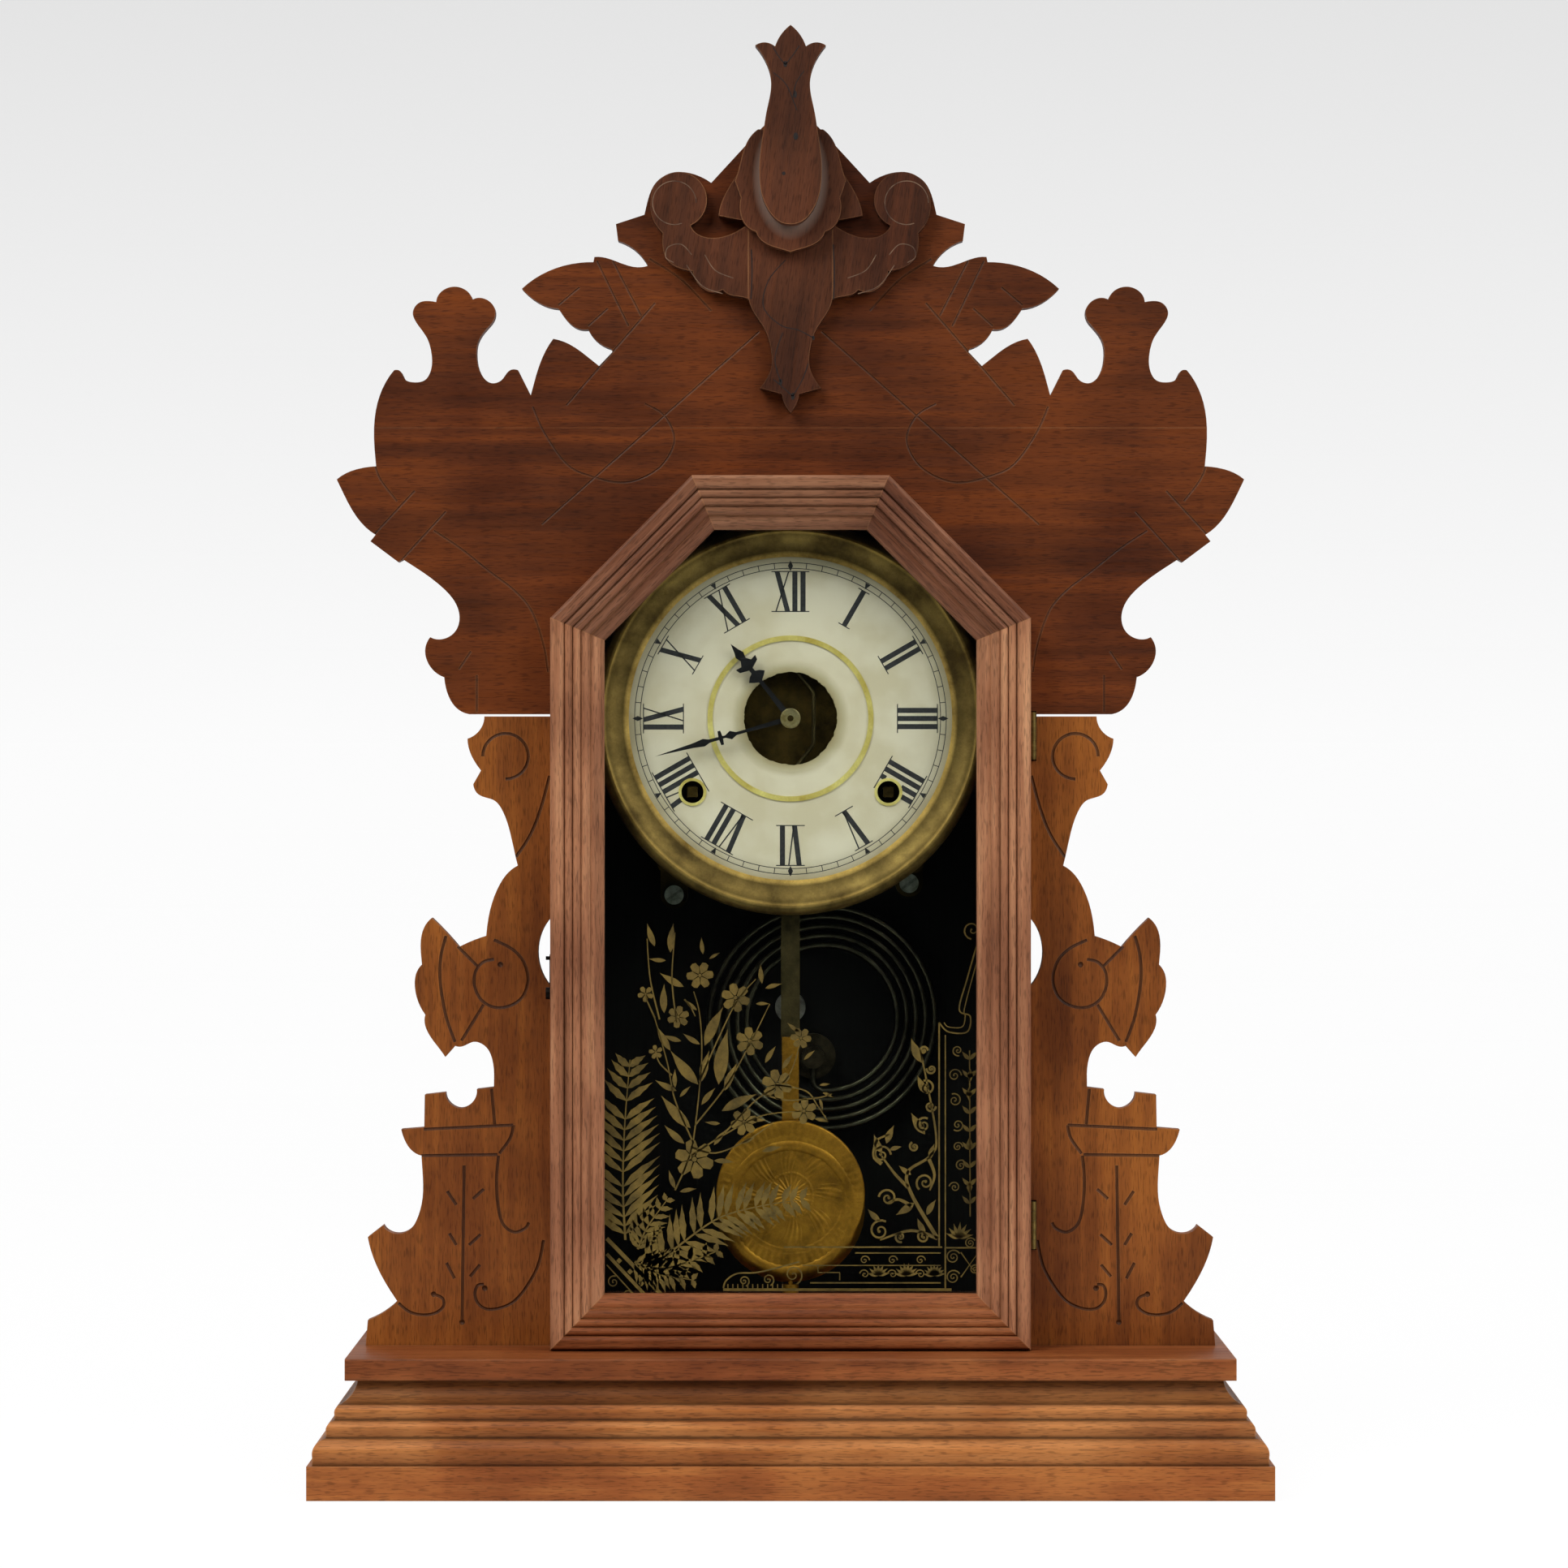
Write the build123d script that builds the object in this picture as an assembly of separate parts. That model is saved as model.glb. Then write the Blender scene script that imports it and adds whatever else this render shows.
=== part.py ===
from build123d import *
import os
from math import atan2, cos, degrees, hypot, pi, radians, sin, sqrt

os.makedirs("parts", exist_ok=True)

# Gingerbread shelf clock: pressed-wood front, glazed door, eight-day time and strike movement.
# X to the right, Y to the back, Z up, origin under the middle of the plinth, millimetres.

# Base: plinth, stacked mouldings and deck
cove_half_width = 163.5     # half width at the top of the cove, to which the mouldings are offset
cove_front = 43.2           # front of the cove's top, ahead of the case middle
plinth_height = 12.8
plinth_offset = 17.8        # how far each course stands out beyond the cove's top
course_offsets = (15.8, 11.1, 8.1)
course_tops = (22.6, 29.0, 34.5)
cove_offset = 6.7
cove_top = 43.3
deck_thickness = 8.2
deck_overhang = 4.6
rail_thickness = 12.0
front_y = cove_front + plinth_offset
deck = cove_top + deck_thickness

# Case box behind the front boards
face_front = -3.0
face_thickness = 7.0
case_half_width = 90.0
case_wall = 8.0
case_height = 330.5
backboard_thickness = 5.0
backboard_gap_to_rear = 3.0
face_back = face_front + face_thickness
case_top = deck + case_height

# Door: an octagonal-topped frame of moulding with a pane in a rabbet
door_half_width = 91.9
door_clearance = 0.5
door_shoulder = 280.3       # heights above the deck
door_height = 334.9
door_top_half_width = 37.7
door_frame_width = 20.3
door_thickness = 20.0
rabbet_width = 5.0
rabbet_depth = 5.0
glass_thickness = 2.0
glass_clearance = 0.4
bead_width = 3.6
door_back = face_front
door_front = door_back - door_thickness
case_opening_inset = 14.0   # the hole in the front boards, in from the door's outline

# Dial and hands
dial_height = 242.2         # of the centre, above the deck
dial_visible_radius = 62.7
bezel_radius = 76.3
bezel_ridge_radius = 72.4
bezel_height = 5.2          # of the ridge, in front of the paper
paper_front = 6.2
paper_thickness = 0.3
paper_radius = 63.4
dial_plate_radius = 74.0
dial_plate_thickness = 0.8
dial_hole_radius = 18.2
ring_radius = 31.2
ring_width = 2.0
ring_thickness = 0.5
winding_x = 38.0
winding_drop = 28.5
winding_hole_radius = 4.3
grommet_width = 1.1
minute_reach = 54.4
minute_angle = 254.3        # clockwise from twelve, as the hands stand at rest
hour_reach = 37.0
hour_angle = 321.2
hour_hand_ahead = 3.6       # of the paper
minute_hand_ahead = 5.4
hand_thickness = 0.8
nut_radius = 3.9
nut_height = 1.4
nut_bevel = 0.4

# Movement plates and how they stand
plate_half_width = 52.0
plate_below = 60.2          # below and above the dial centre
plate_above = 60.3
plate_thickness = 1.5
plate_spacing = 27.5
plate_corner = 4.0
dial_post_length = 7.7      # between the dial plate and the movement
movement_stand_off = 7.5    # of the movement from the backboard
pillar_radius = 2.5
pillar_inset = 5.0
foot_radius = 5.4
foot_positions = ((-46.0, -69.3), (47.0, -64.7), (-30.0, 67.3), (30.0, 67.3))
foot_bolt_radius = 1.8
foot_head_radius = 3.8
foot_head_height = 1.8
foot_slot = 0.9
foot_slot_angle = 35.0
bolt_reach = 4.0            # into the backboard
foot_overlap = 6.0          # of a foot's strap over the plate's edge
post_radius = 1.6
post_half_width = 44.0
post_drop = 52.0
bezel_ridge_y = paper_front - bezel_height
hour_hand_front = paper_front - hour_hand_ahead
minute_hand_front = paper_front - minute_hand_ahead
plate_front = paper_front + paper_thickness
dial_plate_back = plate_front + dial_plate_thickness
front_plate_y = dial_plate_back + dial_post_length
back_plate_y = front_plate_y + plate_thickness + plate_spacing
movement_back = back_plate_y + plate_thickness
backboard_front = movement_back + movement_stand_off
case_back = backboard_front + backboard_thickness
back_y = case_back + backboard_gap_to_rear

# Wheels: module, teeth and the leaves of the lantern pinions they drive
wheel_thickness = 1.2
great_thickness = 1.6
addendum = 0.8
dedendum = 1.3
shroud_thickness = 0.7
shroud_gap = 2.6
pinion_leaves = 8
fine_leaves = 7
great_module = 1.0
great_teeth = 48
second_module = 0.8
second_teeth = 48
strike_second_teeth = 56
fine_module = 0.6
centre_teeth = 64
third_teeth = 64
strike_third_teeth = 48
escape_teeth = 44
escape_radius = 13.0
escape_tooth_depth = 2.2
minute_wheel_teeth = 24
hour_wheel_teeth = 32
arbor_radius = 1.2
great_arbor_radius = 2.5
winding_square = 4.0
pivot_clearance = 0.05
great_y = front_plate_y + 25.0      # the front face of each wheel
second_y = front_plate_y + 21.0
centre_y = front_plate_y + 17.0
third_y = front_plate_y + 13.0
escape_y = front_plate_y + 5.0
minute_wheel_y = front_plate_y + 8.0
hour_wheel_y = front_plate_y + 3.0
strike_second_bearing = 100.0
strike_third_bearing = 70.0
fly_bearing = 35.0
fly_radius = 10.0
fly_length = 7.0
fly_thickness = 0.6
fly_hub_wall = 0.9
spring_width = 14.0
spring_strip = 0.5
spring_pitch = 1.9
spring_half_turns = 16
spring_front = front_plate_y + 5.5
arm_width = 3.2             # of the arms left between a wheel's windows
rim_width = 1.6
hub_wall = 2.3
winding_front = paper_front + 0.8
winding_square_length = 5.0
pipe_wall = 1.15
stub_length = 0.8           # of plain arbor left beside a wheel

# Escapement, pendulum, hammer and gong
pendulum_pivot_height = 293.5   # above the deck
escape_drop = 19.0
pallet_gap = 0.95
pallet_thickness = 1.4
pallet_span = 48.0          # half the angle that the pallets embrace
verge_stem = 2.4
pendulum_y = front_plate_y - 4.2
crutch_y = front_plate_y - 1.6
crutch_radius = 0.5
crutch_length = 23.0
crutch_fork = 1.0           # thickness of the fork's bar and prongs
crutch_play = 0.2
suspension_width = 8.0
suspension_neck = 3.6
suspension_tip = 2.4
suspension_height = 4.4
spring_gap = 0.2
spring_blade = 0.2
spring_half_width = 1.0
spring_length = 9.0
ferrule_half_width = 1.5
ferrule_below = 2.0
leader_radius = 0.8
leader_jog = 9.0            # sideways step round the hand arbors
leader_jog_flat = 10.0      # half the upright part of the step
leader_jog_reach = 22.0     # half the whole step
leader_bend = 4.0
leader_lap = 3.0            # let into the flat strip
strip_width = 7.3
strip_thickness = 1.0
strip_top = 171.5           # heights above the deck
strip_bottom = 111.5
strap_width = 6.5
strap_thickness = 0.8
bob_height = 52.2
bob_radius = 29.0
bob_thickness = 6.0
bob_rim = 7.0
bob_lap = 4.0               # strap laid over the bob
strap_lap = 7.0             # strap hooked over the strip
bob_stem_radius = 1.0
bob_stem_length = 9.2
rating_nut_radius = 3.2
rating_nut_height = 5.2
hammer_pivot = (-3.0, -53.7)    # from the dial centre
hammer_head = (0.0, -113.7)
hammer_head_radius = 6.0
hammer_head_length = 7.0
hammer_wire_radius = 0.9
hammer_wire_ahead = 8.0     # of the gong's plane
hammer_wire_bend = 4.0
hammer_clear = 6.0          # below the coil's inner turn, where the wire steps back
gong_centre = (13.5, -118.9)    # from the dial centre
gong_inner_radius = 28.0
gong_outer_radius = 46.6
gong_half_turns = 10
gong_wire_radius = 1.1
gong_stand_off = 7.0        # of the gong's plane from the backboard
gong_post_radius = 4.5
gong_post_bend = 4.5
gong_foot_radius = 9.0
gong_foot_thickness = 3.0
gong_y = backboard_front - gong_stand_off
hammer_wire_y = gong_y - hammer_wire_ahead

# Hinges and latch
hinge_length = 18.3
hinge_heights = (37.4, 226.2)   # of the lower ends, above the deck
hinge_leaf = 0.8
hinge_leaf_width = 11.0
hinge_knuckle_radius = 1.35
hinge_pin_radius = 0.6
hinge_pin_offset = 1.7          # outside the door's edge
hinge_knuckles = 5
hinge_gap = 0.1
hinge_leaf_stop = 0.6           # of the leaf short of the pin's axis
knuckle_end_gap = 0.1
knuckle_room = 0.3              # round the knuckles in the front boards
mortise_gap = 0.2
latch_pivot_y = -8.0
latch_height = 136.2            # of the pivot, above the deck
latch_length = 13.6
latch_plate = 0.8
hook_eye = 2.4
hook_half_width = 1.4
hook_tab = 1.4
latch_screw_radius = 1.0
latch_screw_length = 9.0
latch_screw_head = 1.4
latch_screw_head_radius = 2.3
catch_y = 0.0
catch_rise = 8.8                # of the catch pin above the latch pivot
catch_wire_radius = 0.8
latch_play = 0.25

# The outlines below are drawn for this deck height and move with the deck
drawn_deck = 51.5
lift = deck - drawn_deck
dial_z = deck + dial_height


def put(name, *shapes):
    """Write one sub-part as parts/NAME.step."""
    solids = [solid for shape in shapes for solid in shape.solids()]
    export_step(Compound(children=solids) if len(solids) > 1 else solids[0], f"parts/{name}.step")


def facing(y, x=0.0, z=0.0):
    """Plane with its face to the front: drawn x is X, drawn y is Z, thickness grows forwards."""
    return Plane(origin=(x, y, z), x_dir=(1, 0, 0), z_dir=(0, -1, 0))


def slab(sketch, y_front, y_back, x=0.0, z=0.0):
    """A flat piece between two depths, drawn as seen from the front."""
    return extrude(facing(y_back, x, z) * sketch, y_back - y_front)


def rod(x, z, y_front, y_back, radius):
    return slab(Circle(radius), y_front, y_back, x, z)


def block(x_low, x_high, y_low, y_high, z_low, z_high):
    size = (x_high - x_low, y_high - y_low, z_high - z_low)
    middle = ((x_low + x_high) / 2, (y_low + y_high) / 2, (z_low + z_high) / 2)
    return Pos(*middle) * Box(*size)


def both_sides(shape):
    return [shape, mirror(shape, about=Plane.YZ)]


def runs(start, *stretches):
    """Edges from corner to corner: a straight line for one point, a smooth curve for more."""
    edges = []
    corner = start
    for stretch in stretches:
        points = [corner] + list(stretch)
        edges.append(Line(points[0], points[1]) if len(points) == 2 else Spline(points))
        corner = points[-1]
    return edges


def symmetric_face(start, *stretches):
    """A left-right symmetric outline from its right half, which starts and ends on the middle."""
    edges = runs(start, *stretches)
    end = edges[-1] @ 1
    half = make_face(edges + [Line(end, start)])
    return half + mirror(half, about=Plane.YZ)


def spiral_arcs(first_radius, growth, half_turns, offset=0.0):
    """Half turns about the origin, each wider than the last, moved outwards by an offset."""
    arcs = []
    side = -1
    start = side * first_radius
    for turn in range(half_turns):
        end = -side * (first_radius + growth * (turn + 1))
        outer_start, outer_end = start + side * offset, end - side * offset
        middle = (outer_start + outer_end) / 2
        radius = abs(outer_end - outer_start) / 2
        arcs.append(ThreePointArc((outer_start, 0), (middle, -side * radius), (outer_end, 0)))
        start = end
        side = -side
    return arcs


def inset(corners, distance):
    """A convex outline, given anticlockwise, moved in by the same distance on every side."""
    moved = []
    count = len(corners)
    for i in range(count):
        before, here, after = corners[i - 1], corners[i], corners[(i + 1) % count]
        u = (Vector(*here) - Vector(*before)).normalized()
        v = (Vector(*after) - Vector(*here)).normalized()
        half = radians(180 - u.get_angle(v)) / 2
        inward = (v - u).normalized()
        step = inward * (distance / sin(half))
        moved.append((here[0] + step.X, here[1] + step.Y))
    return moved


def face_of(corners):
    return make_face(Polyline(*corners, close=True))


def mitred_frame(corners, width, section, y_front, depth):
    """Members cut at the bisectors of the outline's corners, one for each side."""
    inner = inset(corners, width)
    members = []
    count = len(corners)
    for i in range(count):
        a, b = corners[i], corners[(i + 1) % count]
        p, q = inner[i], inner[(i + 1) % count]
        length = hypot(b[0] - a[0], b[1] - a[1])
        along = ((b[0] - a[0]) / length, (b[1] - a[1]) / length)
        inward = (-along[1], along[0])
        plane = Plane(origin=(b[0], y_front, b[1]), x_dir=(inward[0], 0, inward[1]),
                      z_dir=(-along[0], 0, -along[1]))
        bar = extrude(plane * section, length)
        members.append(bar & slab(face_of([a, b, q, p]), y_front, y_front + depth))
    return members


# Base

def course(offset_low, offset_high, z_low, z_high):
    """A rounded nosing: upright below, then a quarter round in to the course above."""
    middle = z_low + 0.35 * (z_high - z_low)
    bend = (offset_high + 0.72 * (offset_low - offset_high), middle + 0.72 * (z_high - middle))
    return [Line((offset_low, z_low), (offset_low, middle)),
            ThreePointArc((offset_low, middle), bend, (offset_high, z_high))]


edges = []
z_low = plinth_height
for number, (offset, top) in enumerate(zip(course_offsets, course_tops)):
    above = course_offsets[number + 1] if number + 1 < len(course_offsets) else cove_offset
    edges += course(offset, above, z_low, top)
    z_low = top
cove_middle = (cove_offset * 0.28, (z_low + cove_top) / 2 - 0.6)
edges.append(ThreePointArc((cove_offset, z_low), cove_middle, (0, cove_top)))
edges += [Line((0, cove_top), (-rail_thickness, cove_top)),
          Line((-rail_thickness, cove_top), (-rail_thickness, plinth_height)),
          Line((-rail_thickness, plinth_height), (course_offsets[0], plinth_height))]
moulding_section = make_face(edges)
plinth_section = face_of([(plinth_offset, 0), (plinth_offset, plinth_height),
                          (-rail_thickness, plinth_height), (-rail_thickness, 0)])

side_length = back_y + front_y
front_corner = (cove_half_width + plinth_offset, front_y)
inner_corner = (cove_half_width - rail_thickness, cove_front - rail_thickness)
front_piece = extrude(face_of([(-front_corner[0], -front_corner[1]),
                               (front_corner[0], -front_corner[1]),
                               (inner_corner[0], -inner_corner[1]),
                               (-inner_corner[0], -inner_corner[1])]), cove_top)
side_piece = extrude(face_of([(front_corner[0], -front_corner[1]), (front_corner[0], back_y),
                              (inner_corner[0], back_y), (inner_corner[0], -inner_corner[1])]),
                     cove_top)


def base_course(section):
    """One section run round the front and both sides, mitred at the front corners."""
    across = Plane(origin=(front_corner[0], -cove_front, 0), x_dir=(0, -1, 0), z_dir=(-1, 0, 0))
    back = Plane(origin=(cove_half_width, back_y, 0), x_dir=(1, 0, 0), z_dir=(0, -1, 0))
    front = extrude(across * section, 2 * front_corner[0]) & front_piece
    side = extrude(back * section, side_length) & side_piece
    return [front] + both_sides(side)


put("plinth_boards", *base_course(plinth_section))
put("base_mouldings", *base_course(moulding_section))
put("base_back_rail", block(-inner_corner[0], inner_corner[0], back_y - rail_thickness, back_y,
                            0, cove_top))
deck_half = cove_half_width + deck_overhang
deck_front = cove_front + deck_overhang
deck_board = block(-deck_half, deck_half, -deck_front, back_y, cove_top, deck)
front_edges = deck_board.edges().filter_by(Axis.X).group_by(Axis.Y)[0]
put("base_deck", fillet(front_edges, 0.8))

# Case box

side = block(case_half_width - case_wall, case_half_width, face_back, backboard_front,
             deck, case_top)
top = block(-case_half_width + case_wall, case_half_width - case_wall, face_back,
            backboard_front, case_top - case_wall, case_top)
foot_points = [(x, dial_z + z) for x, z in foot_positions]
gong_post = (gong_centre[0] - gong_post_bend, dial_z + gong_centre[1] - gong_inner_radius
             + 2 * gong_post_bend + gong_post_radius)
catch_z = deck + latch_height + catch_rise
catch_x = case_half_width - 0.4 * case_wall
catch_root = rod(-catch_x, catch_z, catch_y, face_back + case_wall, catch_wire_radius)
backboard = block(-case_half_width, case_half_width, backboard_front, case_back, deck, case_top)
foot_shanks = [rod(x, z, backboard_front - 1, backboard_front + bolt_reach, foot_bolt_radius)
               for x, z in foot_points]
for shank in foot_shanks:
    backboard -= shank
case_sides = both_sides(side)
put("case_sides_and_top", case_sides[0], case_sides[1] - catch_root, top)
put("backboard", backboard)

# Front boards

door_outline = [(-door_half_width, deck + door_clearance), (door_half_width, deck + door_clearance),
                (door_half_width, deck + door_shoulder), (door_top_half_width, deck + door_height),
                (-door_top_half_width, deck + door_height), (-door_half_width, deck + door_shoulder)]
opening = face_of(inset(door_outline, case_opening_inset))
glue_line = 405.8
boards_meet = 295.3
panel_top = 294.4

crest_half = make_face(runs(
    (0, boards_meet), [(124.4, boards_meet)],
    [(129.7, 298.4), (132.5, 303.5), (133.7, 309.5)],
    [(138.8, 313.2), (141.0, 318.4), (139.1, 325.0)],
    [(134.2, 324.3), (129.7, 326.9), (127.8, 332.0), (129.1, 337.7), (134.2, 344.0),
     (142.2, 350.2), (149.6, 355.0)],
    [(151.5, 354.0)], [(162.2, 362.0)], [(160.2, 364.5)],
    [(166.1, 369.6), (171.2, 377.6), (175.2, 385.9)],
    [(169.5, 389.2), (163.8, 390.6), (160.0, 391.0)],
    [(160.7, 399.2), (160.2, 412.0), (157.6, 420.8), (153.0, 428.1)],
    [(150.4, 427.4), (148.8, 424.5), (145.7, 423.4), (141.1, 424.3), (138.8, 428.2),
     (138.6, 434.5), (140.5, 440.8), (144.5, 446.5), (145.8, 450.4), (143.4, 454.1),
     (139.9, 454.8), (136.8, 454.4)],
    [(135.4, 457.8), (130.3, 460.3), (124.6, 458.4), (122.8, 455.3)],
    [(117.7, 455.5), (114.3, 452.1), (114.3, 448.2), (117.7, 443.6), (120.6, 439.0),
     (121.2, 433.3), (119.4, 426.5), (115.5, 423.1), (111.5, 424.3), (109.2, 427.3),
     (105.2, 428.1)],
    [(100.3, 418.3)],
    [(98.4, 425.4), (96.1, 432.2), (91.6, 440.2)],
    [(84.1, 437.4), (78.5, 433.4), (73.9, 429.7)],
    [(68.8, 435.1)], [(69.0, 436.2)],
    [(74.4, 439.0), (78.1, 443.8)],
    [(84.1, 445.3), (87.8, 449.3), (89.5, 451.8)],
    [(95.5, 453.3), (100.1, 456.1), (103.7, 459.5)],
    [(96.5, 464.8), (88.3, 468.2), (76.1, 469.8)],
    [(75.7, 471.8)],
    [(72.0, 471.6), (65.2, 469.3), (55.0, 468.4)],
    [(60.5, 475.0), (66.6, 478.1)],
    [(67.4, 484.5)], [(56.4, 488.1)],
    [(55.0, 494.0), (51.7, 500.8), (44.9, 504.4), (37.4, 503.8), (30.6, 500.4)],
    [(10.9, 521.8)], [(4.0, 528.0)], [(0, 528.0)], [(0, boards_meet)]))
crest = Pos(0, lift) * (crest_half + mirror(crest_half, about=Plane.YZ)) - opening
crest_span = 400.0
above_joint = Pos(0, lift + glue_line + crest_span / 2) * Rectangle(crest_span, crest_span)
pin_x = door_half_width + hinge_pin_offset
pin_y = face_front - hinge_leaf - hinge_gap
hinge_spans = [(deck + low, deck + low + hinge_length) for low in hinge_heights]
knuckle_relief = [Pos(pin_x, pin_y, (low + high) / 2)
                  * Cylinder(hinge_knuckle_radius + knuckle_room, hinge_length + 1)
                  for low, high in hinge_spans]
face_boards = {"crest_upper_board": slab(crest & above_joint, face_front, face_back),
               "crest_lower_board": slab(crest - above_joint, face_front, face_back)}

panel_inner = inset(door_outline, case_opening_inset)[1][0]
panel_right = make_face(runs(
    (panel_inner, drawn_deck), [(164.0, drawn_deck)], [(163.2, 61.2)],
    [(157.5, 64.0), (151.8, 68.6)],
    [(157.5, 77.7), (161.3, 86.1), (163.2, 93.3)],
    [(157.3, 97.9)],
    [(155.2, 95.6), (151.4, 94.6), (146.9, 96.3), (143.8, 101.3), (142.1, 108.1),
     (141.9, 115.7), (142.5, 124.8)],
    [(146.1, 126.7), (148.8, 130.5), (150.3, 134.9)],
    [(141.4, 135.6)], [(141.2, 148.3)], [(133.2, 149.2)],
    [(130.9, 144.5), (127.1, 143.1), (123.3, 144.9), (121.1, 150.4)],
    [(114.5, 151.2)],
    [(114.5, 157.7), (115.2, 162.2), (117.5, 166.7), (122.5, 168.7), (126.0, 167.2),
     (129.5, 167.2)],
    [(133.3, 162.9)],
    [(139.0, 170.7), (141.3, 176.7), (141.0, 179.2)],
    [(143.5, 183.6), (145.0, 189.6), (144.7, 194.6), (142.3, 198.6)],
    [(142.8, 204.6), (142.0, 211.6), (138.5, 216.6)],
    [(132.5, 210.6), (128.0, 205.4)],
    [(122.0, 208.1), (117.5, 209.6)],
    [(116.0, 219.6), (113.0, 228.1), (109.0, 234.1), (105.3, 236.8)],
    [(107.0, 244.1), (108.5, 250.6), (111.0, 257.6), (114.5, 262.0), (118.5, 263.3),
     (122.5, 268.2)],
    [(119.5, 273.5)],
    [(121.0, 275.5), (123.5, 280.0), (124.7, 285.8)],
    [(120.5, 288.5), (118.7, 291.5), (118.2, panel_top)],
    [(panel_inner, panel_top)], [(panel_inner, drawn_deck)]))
cutout_centre = (82.0, 203.4)
cutout_size = (15.5, 18.1)
panel_right -= Pos(*cutout_centre) * Ellipse(*cutout_size)
panel = slab(Pos(0, lift) * panel_right, face_front, face_back)
face_boards["side_panel_right"] = panel
face_boards["side_panel_left"] = mirror(panel, about=Plane.YZ)
for name, board in face_boards.items():
    if name in ("crest_lower_board", "side_panel_right"):
        for relief in knuckle_relief:
            board -= relief
    put(name, board)

# Carved crest overlays, stacked towards the front

overlay_thickness = 6.0
collar_thickness = 5.5
tulip_thickness = 6.5
overlay_front = face_front - overlay_thickness
collar_front = overlay_front - collar_thickness
tulip_front = collar_front - tulip_thickness
wing_seam = 16.2
volute_centre = (43.0, 493.1)
volute_radius = 10.8

wing = make_face(runs(
    (wing_seam, 455.0), [(17.9, 455.6), (23.3, 456.6), (26.1, 458.6)],
    [(31.5, 457.9), (35.5, 460.7), (37.5, 465.8)],
    [(42.3, 466.7), (47.0, 469.5), (49.3, 476.9), (49.1, 480.3)],
    [(53.4, 487.0), (53.8, 493.1)],
    [(43.0, 493.1)], [(38.6, 483.6)],
    [(36.9, 480.9), (31.5, 478.5), (24.7, 479.3), (17.9, 482.6), (wing_seam, 483.8)],
    [(wing_seam, 455.0)]))
wing += Pos(*volute_centre) * Circle(volute_radius)
put("volute_wings", *both_sides(slab(Pos(0, lift) * wing, overlay_front, face_front)))

drop = symmetric_face(
    (0, 484.4), [(wing_seam, 484.4)], [(wing_seam, 455.6)],
    [(14.5, 450.5), (9.8, 443.1), (7.4, 434.9), (7.5, 428.2), (9.8, 423.4), (11.8, 420.7)],
    [(3.3, 418.4)], [(2.8, 416.0), (0, 411.2)])
put("crest_drop", slab(Pos(0, lift) * drop, overlay_front, face_front))

flare = symmetric_face(
    (0, 485.0), [(19.0, 485.4)], [(27.7, 487.1)],
    [(27.4, 489.1), (23.3, 498.6), (17.9, 507.4)],
    [(0, 512.0)])
put("flare_shield", slab(Pos(0, lift) * flare, overlay_front, face_front))

collar = symmetric_face(
    (0, 519.5), [(12.5, 519.5)],
    [(16.6, 514.8), (18.6, 509.4), (21.3, 499.9)],
    [(19.0, 493.1)], [(19.3, 487.7), (17.3, 483.0), (13.2, 480.3)],
    [(11.1, 476.9), (5.7, 474.2), (0, 472.5)])
put("scalloped_collar", slab(Pos(0, lift) * collar, collar_front, overlay_front))

tulip = symmetric_face(
    (0, 558.6), [(4.1, 554.2), (5.9, 550.4)], [(10.2, 551.9), (13.5, 550.8)],
    [(10.2, 546.1), (7.7, 539.3), (7.7, 532.6), (9.1, 525.9), (10.2, 519.1), (11.7, 508.3),
     (11.9, 501.6), (11.2, 494.8), (8.6, 488.1), (4.5, 483.6), (0, 482.4)])
put("tulip_finial", slab(Pos(0, lift) * tulip, tulip_front, collar_front))

# Door

reed_section = make_face([
    Line((0, door_thickness), (0, 1.4)),
    ThreePointArc((0, 1.4), (0.5, 0.4), (1.6, 0)),
    Line((1.6, 0), (3.4, 0)),
    ThreePointArc((3.4, 0), (4.7, 0.6), (5.2, 2.2)),
    ThreePointArc((5.2, 2.2), (6.8, 1.2), (8.4, 3.0)),
    ThreePointArc((8.4, 3.0), (10.0, 2.2), (11.5, 4.2)),
    ThreePointArc((11.5, 4.2), (13.4, 4.0), (15.2, 6.4)),
    ThreePointArc((15.2, 6.4), (18.2, 7.3), (door_frame_width, 9.6)),
    Line((door_frame_width, 9.6), (door_frame_width, door_thickness - rabbet_depth)),
    Line((door_frame_width, door_thickness - rabbet_depth),
         (door_frame_width - rabbet_width, door_thickness - rabbet_depth)),
    Line((door_frame_width - rabbet_width, door_thickness - rabbet_depth),
         (door_frame_width - rabbet_width, door_thickness)),
    Line((door_frame_width - rabbet_width, door_thickness), (0, door_thickness))])
members = mitred_frame(door_outline, door_frame_width, reed_section, door_front, door_thickness)
member_names = ("door_bottom_rail", "door_stile_right", "door_corner_right", "door_top_rail",
                "door_corner_left", "door_stile_left")

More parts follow.
